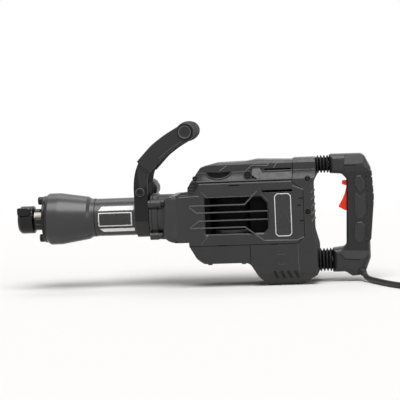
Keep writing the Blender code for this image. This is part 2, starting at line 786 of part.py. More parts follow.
def make_barrel():
    """Round barrel with a square flange at the crankcase."""
    flange = BARREL_REAR_X - BARREL_FLANGE
    piece = turned("barrel", [
        (CYLINDER_OUTER + GAP, BARREL_FRONT_X), (BARREL_RADIUS, BARREL_FRONT_X), (BARREL_RADIUS, flange),
        (BARREL_FLANGE_RADIUS, flange), (BARREL_FLANGE_RADIUS, BARREL_REAR_X), (CYLINDER_OUTER + GAP, BARREL_REAR_X),
    ], segments=LARGE_SEGMENTS)
    for place in barrel_bolt_places():
        fuse(piece, rod("lug", LUG_RADIUS, flange, BARREL_REAR_X, "X", place, 8))
    return dress(piece, "grey_casting", FRAME)


def make_striking_train():
    """Anvil, guide, buffer, cylinder, striker and piston along the hammer axis."""
    anvil = turned("impact_bolt", [
        (0, ANVIL_FRONT_X), (ANVIL_NOSE - 1.5, ANVIL_FRONT_X), (ANVIL_NOSE, ANVIL_FRONT_X + 2),
        (ANVIL_NOSE, COLLAR_FRONT_X - COLLAR_CONE), (ANVIL_COLLAR, COLLAR_FRONT_X), (ANVIL_COLLAR, COLLAR_REAR_X),
        (ANVIL_TAIL, COLLAR_REAR_X + 3), (ANVIL_TAIL, ANVIL_REAR_X), (0, ANVIL_REAR_X),
    ], segments=SEGMENTS)
    dress(anvil, "bright_steel", ANVIL_PIVOT)
    guide = turned("impact_bolt_guide", [
        (ANVIL_COLLAR + GAP, GUIDE_FRONT_X), (CYLINDER_OUTER, GUIDE_FRONT_X),
        (CYLINDER_OUTER, SLEEVE_FRONT_X - GAP), (ANVIL_TAIL + GAP, SLEEVE_FRONT_X - GAP),
        (ANVIL_TAIL + GAP, COLLAR_REAR_X + 4), (ANVIL_COLLAR + GAP, COLLAR_REAR_X + GAP),
    ], segments=SEGMENTS)
    dress(guide, "bright_steel", FRAME)
    buffer = ring("buffer_ring", ANVIL_NOSE + GAP, CYLINDER_OUTER, BUFFER_FRONT_X, GUIDE_FRONT_X - GAP, "X", segments=SEGMENTS)
    dress(buffer, "soft_rubber", FRAME)
    sleeve = ring("cylinder_sleeve", CYLINDER_BORE, CYLINDER_OUTER, SLEEVE_FRONT_X, SLEEVE_REAR_X, "X")
    dress(sleeve, "bright_steel", FRAME)
    striker_step = STRIKER_REAR_X - STRIKER_BODY
    fit = CYLINDER_BORE - GAP
    striker = turned("striker", [
        (0, STRIKER_FRONT_X), (ANVIL_TAIL - 1, STRIKER_FRONT_X), (ANVIL_TAIL - 1, striker_step),
        (fit, striker_step), (fit, STRIKER_REAR_X), (0, STRIKER_REAR_X),
    ], segments=SEGMENTS)
    dress(striker, "bright_steel", STRIKER_PIVOT)
    piston = turned("piston", [
        (0, PISTON_FRONT_X), (fit, PISTON_FRONT_X), (fit, PISTON_REAR_X), (0, PISTON_REAR_X),
    ], segments=SEGMENTS)
    slot_half = ROD_HALF_THICKNESS + GAP
    slot = [(WRIST_X - 15, -slot_half), (PISTON_REAR_X + 1, -slot_half), (PISTON_REAR_X + 1, slot_half), (WRIST_X - 15, slot_half)]
    cut(piston, prism("clevis", slot, -CYLINDER_BORE - 1, CYLINDER_BORE + 1))
    cut(piston, rod("pin_hole", WRIST_RADIUS + GAP, -CYLINDER_BORE, CYLINDER_BORE, "Z", (WRIST_X, 0, 0)))
    dress(piston, "bright_steel", PISTON_PIVOT)
    pin = rod("wrist_pin", WRIST_RADIUS, -CYLINDER_BORE + 4, CYLINDER_BORE - 4, "Z", (WRIST_X, 0, 0))
    dress(pin, "bright_steel", PISTON_PIVOT)


def make_connecting_rod():
    """Flat rod between the wrist pin and the crank pin, waisted along its shank."""
    piece = rod("connecting_rod", BIG_END, -ROD_HALF_THICKNESS, ROD_HALF_THICKNESS, "Z", (CRANK_PIN_X, 0, 0), 16)
    fuse(piece, rod("small_end", SMALL_END, -ROD_HALF_THICKNESS, ROD_HALF_THICKNESS, "Z", (WRIST_X, 0, 0)))
    shank = [
        (WRIST_X, -7), (WRIST_X + 20, -6), (CRANK_PIN_X - 20, -8), (CRANK_PIN_X, -12),
        (CRANK_PIN_X, 12), (CRANK_PIN_X - 20, 8), (WRIST_X + 20, 6), (WRIST_X, 7),
    ]
    fuse(piece, prism("shank", shank, -ROD_HALF_THICKNESS + 1, ROD_HALF_THICKNESS - 1, "XY"))
    cut(piece, rod("big_eye", CRANK_PIN_RADIUS + GAP, -20, 20, "Z", (CRANK_PIN_X, 0, 0)))
    cut(piece, rod("small_eye", WRIST_RADIUS + GAP, -20, 20, "Z", (WRIST_X, 0, 0)))
    dress(piece, "bright_steel", ROD_PIVOT)
    pin = rod("crank_pin", CRANK_PIN_RADIUS, -ROD_HALF_THICKNESS - 1, CRANK_DISC_LOW - GAP, "Z", (CRANK_PIN_X, 0, 0))
    dress(pin, "bright_steel", ROD_PIVOT)


def make_crankshaft():
    """Overhung crank: a balanced disc under an upright shaft."""
    piece = turned("crankshaft", [
        (0, CRANK_DISC_LOW), (34, CRANK_DISC_LOW), (34, CRANK_DISC_HIGH), (CRANK_SHAFT_RADIUS + 3, CRANK_DISC_HIGH),
        (CRANK_SHAFT_RADIUS + 3, BEARING_LOW - GAP), (CRANK_SHAFT_RADIUS, BEARING_LOW - GAP),
        (CRANK_SHAFT_RADIUS, UPPER_BEARING_LOW + UPPER_BEARING_HEIGHT),
        (0, UPPER_BEARING_LOW + UPPER_BEARING_HEIGHT),
    ], "Z", (CRANK_X, 0, 0))
    for side in (-1, 1):
        relief = rounded([
            (CRANK_X - 40, side * 22), (CRANK_X - 4, side * 22, 6), (CRANK_X - 4, side * 40), (CRANK_X - 40, side * 40),
        ])
        cut(piece, prism("balance_relief", relief, CRANK_DISC_LOW - 1, CRANK_DISC_HIGH + 1, "XY"))
    dress(piece, "bright_steel", CRANK_PIVOT)
    outline = gear_outline(SECOND_GEAR_TEETH, SECOND_MODULE, ADDENDUM, CRANK_X, math.pi / SECOND_GEAR_TEETH, 1)
    gear = prism("crank_gear", outline, SECOND_GEAR_LOW, SECOND_GEAR_LOW + SECOND_GEAR_HEIGHT, "XY")
    cut(gear, rod("gear_bore", CRANK_SHAFT_RADIUS + GAP, 0, 100, "Z", (CRANK_X, 0, 0), SEGMENTS))
    dress(gear, "bright_steel", CRANK_PIVOT)


def make_idler():
    """Intermediate cluster: a shaft with its own pinion and a large gear."""
    top = UPPER_BEARING_LOW + UPPER_BEARING_HEIGHT
    piece = rod("intermediate_gear", IDLER_SHAFT_RADIUS, BEARING_LOW, top, "Z", (IDLER_X, 0, 0))
    outline = gear_outline(SECOND_PINION_TEETH, SECOND_MODULE, ADDENDUM, IDLER_X, math.pi, 1)
    fuse(piece, prism("pinion", outline, SECOND_GEAR_LOW - 1, SECOND_GEAR_LOW + SECOND_GEAR_HEIGHT + 1, "XY"))
    outline = gear_outline(FIRST_GEAR_TEETH, FIRST_MODULE, ADDENDUM, IDLER_X, math.pi / FIRST_GEAR_TEETH, 1)
    fuse(piece, prism("large_gear", outline, FIRST_GEAR_LOW, FIRST_GEAR_LOW + FIRST_GEAR_HEIGHT, "XY"))
    return dress(piece, "bright_steel", IDLER_PIVOT)


def make_bearings():
    """Plain bearing rings under the crank, under the idler and at both ends of the armature."""
    places = [
        ("crank_bearing", "crank", CRANK_SHAFT_RADIUS, CRANK_X, BEARING_LOW),
        ("idler_bearing", "idler", IDLER_SHAFT_RADIUS, IDLER_X, BEARING_LOW),
        ("motor_top_bearing", "motor", ARMATURE_SHAFT_RADIUS, MOTOR_X, BEARING_LOW),
        ("motor_foot_bearing", "motor", ARMATURE_SHAFT_RADIUS, MOTOR_X, MOTOR_FOOT),
    ]
    for name, size, shaft, x, low in places:
        high = low + BEARING_HEIGHT
        piece = ring(name, shaft + GAP, BEARING_RADII[size], low, high, "Z", (x, 0, 0), 16)
        dress(piece, "bright_steel", FRAME)


def make_armature():
    """Upright armature: shaft with its pinion, slotted core, commutator and fan."""
    shaft = rod("armature", ARMATURE_SHAFT_RADIUS, MOTOR_FOOT, FIRST_GEAR_LOW - 1, "Z", (MOTOR_X, 0, 0))
    outline = gear_outline(FIRST_PINION_TEETH, FIRST_MODULE, ADDENDUM, MOTOR_X, math.pi, 1)
    fuse(shaft, prism("pinion", outline, FIRST_GEAR_LOW - 2, FIRST_GEAR_LOW + FIRST_GEAR_HEIGHT + 3, "XY"))
    fuse(shaft, prism("core", slotted_outline(), CORE_LOW, CORE_LOW + CORE_HEIGHT, "XY"))
    top = COMMUTATOR_LOW + COMMUTATOR_HEIGHT
    fuse(shaft, turned("commutator", [
        (0, COMMUTATOR_LOW), (COMMUTATOR_RADIUS + 3, COMMUTATOR_LOW), (COMMUTATOR_RADIUS + 3, COMMUTATOR_LOW + 3),
        (COMMUTATOR_RADIUS, COMMUTATOR_LOW + 3), (COMMUTATOR_RADIUS, top), (0, top),
    ], "Z", (MOTOR_X, 0, 0), SEGMENTS))
    dress(shaft, "bright_steel", MOTOR_PIVOT)
    bore = ARMATURE_SHAFT_RADIUS + GAP
    fan = ring("cooling_fan", bore, 14, FAN_LOW, FAN_LOW + FAN_HEIGHT, "Z", (MOTOR_X, 0, 0), 20)
    fuse(fan, ring("fan_disc", 12, FAN_RADIUS, FAN_LOW + FAN_HEIGHT - 3, FAN_LOW + FAN_HEIGHT, "Z", (MOTOR_X, 0, 0)))
    for step in range(FAN_BLADES):
        turn = 2 * math.pi * (step + 0.31) / FAN_BLADES
        spoke = Vector((math.cos(turn), math.sin(turn)))
        side = Vector((-spoke.y, spoke.x))
        inner = spoke * 12
        outer = spoke * (FAN_RADIUS - 2) - side * 8
        blade = [inner - side, outer - side, outer + side, inner + side]
        outline = [(MOTOR_X + spot.x, spot.y) for spot in blade]
        fuse(fan, prism("blade", outline, FAN_LOW + 1, FAN_LOW + FAN_HEIGHT - 2, "XY"))
    dress(fan, "dark_plastic", MOTOR_PIVOT)


def slotted_outline():
    """Plan of the armature core, with a slot between each pair of teeth."""
    points = []
    for step in range(ARMATURE_SLOTS):
        middle = 2 * math.pi * step / ARMATURE_SLOTS
        shares = ((-0.22, SLOT_DEPTH), (-0.36, 0), (0, 0), (0.36, 0), (0.22, SLOT_DEPTH))
        for share, depth in shares:
            turn = middle + share * 2 * math.pi / ARMATURE_SLOTS
            radius = ARMATURE_RADIUS - depth
            points.append((MOTOR_X + radius * math.cos(turn), radius * math.sin(turn)))
    return points


def make_stator():
    """Two-pole field stack, and the carrier ring with its two brushes in their holders."""
    top = STATOR_FLOOR + STATOR_HEIGHT
    piece = ring("stator", ARMATURE_RADIUS + 1, STATOR_RADIUS, STATOR_FLOOR, top, "Z", (MOTOR_X, 0, 0), LARGE_SEGMENTS)
    for side in (-1, 1):
        window = rounded([
            (MOTOR_X + side * 14, -30, 4), (MOTOR_X + side * 36, -16, 6),
            (MOTOR_X + side * 36, 16, 6), (MOTOR_X + side * 14, 30, 4),
        ])
        cut(piece, prism("coil_window", window, STATOR_FLOOR - 1, top + 1, "XY"))
    dress(piece, "grey_casting", FRAME)
    low = CARRIER_LOW
    carrier = ring("brush_carrier", COMMUTATOR_RADIUS + 8, STATOR_RADIUS, low, low + CARRIER_HEIGHT, "Z", (MOTOR_X, 0, 0))
    middle = COMMUTATOR_LOW + COMMUTATOR_HEIGHT / 2 + 1
    for side in (-1, 1):
        near = side * (COMMUTATOR_RADIUS + 3)
        far = side * (STATOR_RADIUS - 2)
        frame_half = BRUSH_HALF + 2.5
        block = [
            (MOTOR_X - frame_half, low + 2), (MOTOR_X + frame_half, low + 2),
            (MOTOR_X + frame_half, middle + frame_half), (MOTOR_X - frame_half, middle + frame_half),
        ]
        fuse(carrier, prism("holder", block, min(near, far), max(near, far)))
        tip = side * (COMMUTATOR_RADIUS + GAP)
        bar = [
            (MOTOR_X - BRUSH_HALF, middle - BRUSH_HALF), (MOTOR_X + BRUSH_HALF, middle - BRUSH_HALF),
            (MOTOR_X + BRUSH_HALF, middle + BRUSH_HALF), (MOTOR_X - BRUSH_HALF, middle + BRUSH_HALF),
        ]
        fuse(carrier, prism("brush", bar, min(tip, far), max(tip, far)))
    return dress(carrier, "dark_plastic", FRAME)


# Casings

def gear_room(grow):
    """Plan of the gear chamber, round both large gears and the motor pinion."""
    reach = SECOND_MODULE * (SECOND_GEAR_TEETH / 2 + ADDENDUM) + 2 + grow
    rear = MOTOR_X + 20 + grow
    return rounded([
        (CRANK_X - reach, -reach, reach - 0.1), (rear, -reach, 18 + grow),
        (rear, reach, 18 + grow), (CRANK_X - reach, reach, reach - 0.1),
    ])


def make_crankcase():
    """Cast case: bolted front flange, boxed throat, crank chamber and gear deck."""
    flange_rear = CASE_FRONT_X + CASE_FLANGE
    neck_rear = flange_rear + CASE_NECK
    piece = turned("crankcase", [
        (0, CASE_FRONT_X), (BARREL_FLANGE_RADIUS, CASE_FRONT_X), (BARREL_FLANGE_RADIUS, flange_rear),
        (BARREL_FLANGE_RADIUS - 2, flange_rear), (BARREL_FLANGE_RADIUS - 2, neck_rear + 1), (0, neck_rear + 1),
    ], segments=LARGE_SEGMENTS)
    for place in barrel_bolt_places():
        fuse(piece, rod("lug", LUG_RADIUS, CASE_FRONT_X, flange_rear, "X", place, 8))
    throat = rounded([
        (-BODY_HALF_WIDTH + 2, CASE_BOTTOM, 10), (BODY_HALF_WIDTH - 2, CASE_BOTTOM, 10),
        (BODY_HALF_WIDTH - 2, CASE_TOP, 7), (-BODY_HALF_WIDTH + 2, CASE_TOP, 7),
    ])
    box = prism("throat", throat, neck_rear, PANEL_FRONT_X - GAP, "YZ")
    fuse(piece, soften(box, 3, 1))
    gusset = [
        (flange_rear - 1, -20), (neck_rear + 3, -20), (neck_rear + 3, CASE_BOTTOM + 1), (neck_rear, CASE_BOTTOM + 1),
        (flange_rear - 1, -BARREL_FLANGE_RADIUS + 4),
    ]
    fuse(piece, prism("gusset", gusset, -24, 24))
    inner = BODY_HALF_WIDTH - WALL - GAP
    tongue = rounded([
        (-inner, LOWER_SEAM + GAP, 4), (inner, LOWER_SEAM + GAP, 4), (inner, CASE_TOP, 6), (-inner, CASE_TOP, 6),
    ])
    fuse(piece, prism("tongue", tongue, PANEL_FRONT_X - 6, CRANK_X - CHAMBER_RADIUS + 6, "YZ"))
    drum = rod("drum", CHAMBER_RADIUS + WALL, CHAMBER_FLOOR, DECK_TOP, "Z", (CRANK_X, 0, 0), LARGE_SEGMENTS)
    fuse(piece, drum)
    fuse(piece, prism("deck", gear_room(WALL), CRANK_DISC_HIGH + GAP, UPPER_SEAM - GAP, "XY"))
    cut(piece, prism("gear_chamber", gear_room(0), DECK_TOP, UPPER_SEAM + 5, "XY"))
    cut(piece, rod("cylinder_bore", CYLINDER_OUTER + GAP, CASE_FRONT_X - 5, CRANK_X, "X", segments=LARGE_SEGMENTS))
    chamber = rod("chamber", CHAMBER_RADIUS, CHAMBER_FLOOR - 40, CRANK_DISC_HIGH + GAP, "Z", (CRANK_X, 0, 0), LARGE_SEGMENTS)
    cut(piece, chamber)
    for x, radius in ((CRANK_X, "crank"), (IDLER_X, "idler"), (MOTOR_X, "motor")):
        cut(piece, rod("bearing_bore", BEARING_RADII[radius] + GAP, CRANK_DISC_HIGH - 5, DECK_TOP + 5, "Z", (x, 0, 0), SEGMENTS))
    return dress(piece, "grey_casting", FRAME)


def make_sump_plate():
    """Round plate that closes the crank chamber from below."""
    low = CHAMBER_FLOOR - 6
    piece = turned("sump_plate", [
        (0, low), (CHAMBER_RADIUS + WALL, low), (CHAMBER_RADIUS + WALL, CHAMBER_FLOOR - GAP),
        (CHAMBER_RADIUS - GAP, CHAMBER_FLOOR - GAP), (CHAMBER_RADIUS - GAP, CHAMBER_FLOOR + 4), (0, CHAMBER_FLOOR + 4),
    ], "Z", (CRANK_X, 0, 0), LARGE_SEGMENTS)
    clear = BODY_HALF_WIDTH
    tongue_rear = CRANK_X - CHAMBER_RADIUS + 6 + GAP
    front = [(tongue_rear - 30, -clear), (tongue_rear, -clear), (tongue_rear, clear), (tongue_rear - 30, clear)]
    cut(piece, prism("tongue_side", front, low - 1, CHAMBER_FLOOR + 10, "XY"))
    return dress(piece, "grey_casting", FRAME)


def shell(name, outer, inner, low_y, high_y):
    """Moulded shell: a side outline kept to the body profile, hollowed by a wall inside both."""
    ends = (min(corner[0] for corner in inner) - 50, max(corner[0] for corner in inner) + 50)
    piece = prism(name, rounded(outer), low_y, high_y)
    keep(piece, prism("profile", rounded(body_profile()), *ends, "YZ"))
    hollow = prism("hollow", rounded(inner), low_y - 10, high_y + 10)
    keep(hollow, prism("inner_profile", rounded(inset(body_profile(), WALL)), *ends, "YZ"))
    return cut(piece, hollow)


def make_lower_housing():
    """Lower housing with the deep belly, a motor shelf, a stator ring and a bearing boss."""
    reach = BODY_HALF_WIDTH + 10
    outer = belly_outline(LOWER_SEAM, 0)
    inner = inset(belly_outline(LOWER_SEAM + 3 * WALL, 4 * WALL), WALL)
    piece = shell("lower_housing", outer, inner, -reach, reach)
    shelf = prism("shelf", rounded(outer), -reach, reach)
    keep(shelf, prism("profile", rounded(body_profile()), BELLY_FRONT_X, BELLY_SEAM_X + 50, "YZ"))
    span = [
        (BELLY_FRONT_X, STATOR_FLOOR - GAP - WALL), (BELLY_SEAM_X + 50, STATOR_FLOOR - GAP - WALL),
        (BELLY_SEAM_X + 50, STATOR_FLOOR - GAP), (BELLY_FRONT_X, STATOR_FLOOR - GAP),
    ]
    keep(shelf, prism("slab", span, -reach - 1, reach + 1))
    cut(shelf, rod("shelf_hole", STATOR_RADIUS - 6, FLOOR, 0, "Z", (MOTOR_X, 0, 0), LARGE_SEGMENTS))
    fuse(piece, shelf)
    cup = ring("cup", STATOR_RADIUS + GAP, STATOR_RADIUS + 3, STATOR_FLOOR - GAP - 2, LOWER_SEAM, "Z", (MOTOR_X, 0, 0), LARGE_SEGMENTS)
    fuse(piece, cup)
    inner_radius = BEARING_RADII["motor"] + GAP
    boss = ring("boss", inner_radius, inner_radius + WALL, FLOOR + WALL - 1, MOTOR_FOOT + BEARING_HEIGHT, "Z", (MOTOR_X, 0, 0), SEGMENTS)
    fuse(piece, boss)
    fuse(piece, rod("boss_floor", inner_radius + 1, FLOOR + WALL - 1, MOTOR_FOOT - GAP, "Z", (MOTOR_X, 0, 0), SEGMENTS))
    return dress(piece, "dark_plastic", FRAME)


def make_gear_cover():
    """Top cover with sloping ledges, a stepped ridge and bosses for the upper bearings."""
    reach = BODY_HALF_WIDTH + 10
    bottom = UPPER_SEAM + GAP
    piece = shell("gear_cover", ridge_outline(bottom, 0), inset(ridge_outline(bottom - 8 * WALL, 4 * WALL), WALL), -reach, reach)
    low = UPPER_BEARING_LOW - 1
    bush_end = UPPER_BEARING_LOW + UPPER_BEARING_HEIGHT + GAP
    roofs = ((CRANK_X, CRANK_SHAFT_RADIUS, RIDGE_TOP - RIDGE_STEP), (IDLER_X, IDLER_SHAFT_RADIUS, RIDGE_TOP))
    for x, radius, roof in roofs:
        boss = rod("boss", radius + GAP + WALL, low, roof - WALL / 2, "Z", (x, 0, 0), SEGMENTS)
        cut(boss, rod("bush", radius + GAP, low - 1, bush_end, "Z", (x, 0, 0), SEGMENTS))
        fuse(piece, boss)
    return dress(piece, "dark_plastic", FRAME)


def make_side_cover(name, side):
    """Side panel with a wide vent, four raised ribs across it and shallow slots."""
    skin = side * (BODY_HALF_WIDTH + 10)
    back = side * (BODY_HALF_WIDTH - 20)
    piece = prism(name, rounded(panel_outline()), min(skin, back), max(skin, back))
    ends = (PANEL_FRONT_X - 20, PANEL_REAR_X + 20)
    keep(piece, prism("profile", rounded(body_profile()), *ends, "YZ"))
    cut(piece, prism("inside", rounded(inset(body_profile(), WALL)), *ends, "YZ"))
    vent = rounded([
        (VENT_LEFT_X, VENT_LOW, 3), (VENT_RIGHT_X - 8, VENT_LOW), (VENT_RIGHT_X, VENT_LOW + 8),
        (VENT_RIGHT_X, VENT_HIGH - 14), (VENT_RIGHT_X - 12, VENT_HIGH), (VENT_LEFT_X, VENT_HIGH, 3),
    ])
    cut(piece, prism("vent", vent, min(skin, back), max(skin, back)))
    face = side * (BODY_HALF_WIDTH + RIB_PROUD)
    root = side * (BODY_HALF_WIDTH - WALL)
    for path in rib_paths():
        fuse(piece, prism("rib", ribbon(path, RIB_HALF), min(face, root), max(face, root)))
    return dress(piece, "dark_plastic", FRAME)


def rib_paths():
    """Centre lines of the vent ribs; the outer two turn away at the rear."""
    top, upper, lower, bottom = RIB_HEIGHTS
    front = VENT_LEFT_X - 30
    return [
        [(front, top), (VENT_RIGHT_X - 44, top), (VENT_RIGHT_X - 25, top + 20)],
        [(front, top - 3), (front + 16, upper), (VENT_RIGHT_X + 4, upper)],
        [(front, bottom + 3), (front + 14, lower), (VENT_RIGHT_X + 4, lower)],
        [(front, bottom), (VENT_RIGHT_X - 43, bottom), (VENT_RIGHT_X - 7, bottom - 27)],
    ]


def ribbon(path, half):
    """Outline of a band of even width along a path."""
    spots = [Vector(spot) for spot in path]
    left = []
    right = []
    for index, spot in enumerate(spots):
        before = (spot - spots[index - 1]).normalized() if index else (spots[1] - spot).normalized()
        after = (spots[index + 1] - spot).normalized() if index + 1 < len(spots) else before
        across = Vector((-before.y - after.y, before.x + after.x)) / (1 + before.dot(after))
        left.append(tuple(spot + across * half))
        right.append(tuple(spot - across * half))
    return right + left[::-1]


def make_tail_cover():
    """Rear cover of the body, with the two bosses that the handle rods slide in."""
    reach = BODY_HALF_WIDTH + 10
    outer = tail_outline(GAP)
    inner = inset(tail_outline(-4 * WALL), WALL)
    piece = shell("tail_cover", outer, inner, -reach, reach)
    keep(piece, prism("plan", rounded(tail_plan()), FLOOR - 5, RIDGE_TOP + 5, "XY"))
    for height in (UPPER_ROD_HEIGHT, LOWER_ROD_HEIGHT):
        cut(piece, rod("rod_bore", ROD_RADIUS + GAP, TAIL_SEAM_X, TAIL_REAR_X + 5, "X", (0, 0, height), SMALL_SEGMENTS))
    return dress(piece, "dark_plastic", FRAME)


def tail_plan():
    """Plan of the tail, with rounded rear corners."""
    half = BODY_HALF_WIDTH + 1
    return [
        (TAIL_SEAM_X - 60, -half), (TAIL_REAR_X + 1, -half, 24), (TAIL_REAR_X + 1, half, 24), (TAIL_SEAM_X - 60, half),
    ]


def make_oil_cap():
    """Round filler cap that lies half under the ridge on the near ledge."""
    slope = math.atan2(RIDGE_FOOT - UPPER_SEAM - 2, BODY_HALF_WIDTH - RIDGE_HALF_WIDTH)
    piece = turned("oil_cap", [
        (0, GAP), (OIL_CAP_RADIUS, GAP), (OIL_CAP_RADIUS, 2.4), (OIL_CAP_RADIUS - 1.2, 3.4),
        (OIL_CAP_RADIUS - 4, 3.4), (OIL_CAP_RADIUS - 5, 2.4), (0, 2.4),
    ], "Z", segments=20)
    across = (BODY_HALF_WIDTH + RIDGE_HALF_WIDTH) / 2 - 1
    place = Vector((OIL_CAP_X, -across, (UPPER_SEAM + 2 + RIDGE_FOOT) / 2 + math.tan(slope)))
    up = place + Vector((0, -math.sin(slope), math.cos(slope)))
    aimed(piece, place, up)
    return dress(piece, "dark_plastic", FRAME)


# Rear handle

def make_handle(name, side):
    """One half of the rear handle, hollow inside, with rounded outer edges."""
    corners = handle_outline()
    sections = [(rounded(corners), side * GAP / 2)]
    for step in range(HANDLE_ROUND_STEPS + 1):
        turn = math.pi / 2 * step / HANDLE_ROUND_STEPS
        depth = HANDLE_ROUND * (1 - math.cos(turn))
        station = HANDLE_HALF_WIDTH - HANDLE_ROUND * (1 - math.sin(turn))
        sections.append((rounded(inset(corners, depth)), side * station))
    piece = loft(name, sections)
    depth = side * (HANDLE_HALF_WIDTH - HANDLE_WALL)
    pocket = rounded(inset(corners, HANDLE_WALL))
    cut(piece, prism("pocket", pocket, min(-side, depth), max(-side, depth)))
    low, high = TRIGGER_SLOT
    width = TRIGGER_HALF_WIDTH + GAP
    slot = [(HANDLE_FRONT_X + 20, low), (TRIGGER_X + 12, low), (TRIGGER_X + 12, high), (HANDLE_FRONT_X + 20, high)]
    cut(piece, prism("trigger_slot", slot, -width, width))
    trunnion = rod("trunnion_bore", TRUNNION + GAP, -TRUNNION_REACH - GAP, TRUNNION_REACH + GAP, "Y", (TRIGGER_X, 0, TRIGGER_HEIGHT))
    cut(piece, trunnion)
    for height in (UPPER_ROD_HEIGHT, LOWER_ROD_HEIGHT):
        bore = rod("rod_bore", ROD_RADIUS + GAP, HANDLE_FRONT_X - 5, HANDLE_FRONT_X + HANDLE_WALL + 2, "X", (0, 0, height))
        cut(piece, bore)
    cut(piece, prism("pad_rebate", rounded(inset(pad_outline(), -GAP)), -PAD_HALF_WIDTH - GAP, PAD_HALF_WIDTH + GAP))
    start, end = guard_line()
    reach = (end - start).length
    cut(piece, aimed(rod("guard_bore", GUARD_RADIUS + GAP, -4, reach, "Z", segments=20), start, end))
    return dress(piece, "dark_plastic", HANDLE_PIVOT)


def guard_line():
    """Start of the cord guard inside the handle, and its tip, in the hammer's frame."""
    drop = Vector((0, 0, AXIS_HEIGHT))
    start = Vector(GUARD_START) - drop
    end = Vector(CORD_ROUTE[0]) - drop
    return start, end - (end - start).normalized() * GAP


def pad_outline():
    """Side view of the rubber pad let into the back of the grip."""
    return [
        (HANDLE_FRONT_X + 73, 74, 3), (HANDLE_FRONT_X + 82.5, 74, 3), (HANDLE_FRONT_X + 85.3, 20, 60),
        (HANDLE_FRONT_X + 77, -62, 3), (HANDLE_FRONT_X + 68, -62, 3), (HANDLE_FRONT_X + 76, 20, 60),
    ]


def make_grip_pad():
    """Rubber pad on the back of the grip, with finger grooves across it."""
    piece = prism("grip_back_pad", rounded(pad_outline()), -PAD_HALF_WIDTH, PAD_HALF_WIDTH)
    for step in range(PAD_GROOVES):
        height = -50 + 112 * step / (PAD_GROOVES - 1)
        across = HANDLE_FRONT_X + 84.9 - 0.0011 * (height - 20) ** 2
        groove = rod("groove", 1.6, -30, 30, "Y", (across, 0, height), 8)
        cut(piece, groove)
    return dress(piece, "soft_rubber", HANDLE_PIVOT)


def make_trigger():
    """Wide trigger that swings on moulded trunnions at its top."""
    outline = rounded([
        (TRIGGER_X - 21, 60, 1.5), (TRIGGER_X - 10, 60), (TRIGGER_X + 5, 60, 4), (TRIGGER_X + 5, 46, 4),
        (TRIGGER_X - 4, 40), (TRIGGER_X - 6, 2, 3), (TRIGGER_X - 16, -1, 2), (TRIGGER_X - 31, 7, 3),
        (TRIGGER_X - 24, 34, 60), (TRIGGER_X - 18, 53, 2), (TRIGGER_X - 21, 55, 1.5),
    ])
    piece = prism("trigger", outline, -TRIGGER_HALF_WIDTH, TRIGGER_HALF_WIDTH)
    fuse(piece, rod("trunnions", TRUNNION, -TRUNNION_REACH, TRUNNION_REACH, "Y", (TRIGGER_X, 0, TRIGGER_HEIGHT)))
    dress(piece, "red_plastic", TRIGGER_PIVOT)
    low, high = -12.0, 44.0
    half = HANDLE_HALF_WIDTH - HANDLE_WALL - GAP
    front = TRIGGER_X + 12 + GAP
    body = rounded([(front, low, 2), (front + 17, low, 2), (front + 17, high, 2), (front, high, 2)])
    switch = prism("switch_body", body, -half, half)
    return dress(switch, "dark_plastic", HANDLE_PIVOT)


def make_bellows(name, height, radius, low, high):
    """Rubber bellows with a bore, whose folds are rings of two radii."""
    step = (high - low) / (2 * BELLOWS_FOLDS)
    bore = radius - BELLOWS_DEPTH - BELLOWS_WALL
    profile = [(bore, low)]
    for fold in range(2 * BELLOWS_FOLDS + 1):
        reach = radius if fold % 2 else radius - BELLOWS_DEPTH
        profile.append((reach, low + step * fold))
    profile.append((bore, high))
    piece = turned(name, profile, "X", (0, 0, height), 14)
    return dress(piece, "soft_rubber", FRAME)


def make_handle_mount(name, height, boss_x, radius, seat):
    """Guide rod, damper spring and bellows that join one handle arm to the tail."""
    collar = HANDLE_FRONT_X + HANDLE_WALL + GAP
    guide = turned("guide_rod_" + name, [
        (0, boss_x), (ROD_RADIUS, boss_x), (ROD_RADIUS, collar), (ROD_RADIUS + 3.5, collar),
        (ROD_RADIUS + 3.5, collar + 5), (ROD_RADIUS, collar + 5), (ROD_RADIUS, collar + 12), (0, collar + 12),
    ], "X", (0, 0, height), SMALL_SEGMENTS)
    dress(guide, "bright_steel", HANDLE_PIVOT)
    low = seat + GAP
    high = HANDLE_FRONT_X - GAP
    make_bellows("bellows_" + name, height, radius, low, high)
    coils = []
    length = high - low - 2 * SPRING_WIRE
    count = SPRING_CURLS * SPRING_POINTS
    for index in range(count + 1):
        turn = 2 * math.pi * index / SPRING_POINTS
        along = low + SPRING_WIRE + length * index / count
        coils.append((along, SPRING_RADIUS * math.cos(turn), height + SPRING_RADIUS * math.sin(turn)))
    spring = wire("damper_spring_" + name, coils, SPRING_WIRE, 1)
    dress(spring, "bright_steel", FRAME)


# Side handle

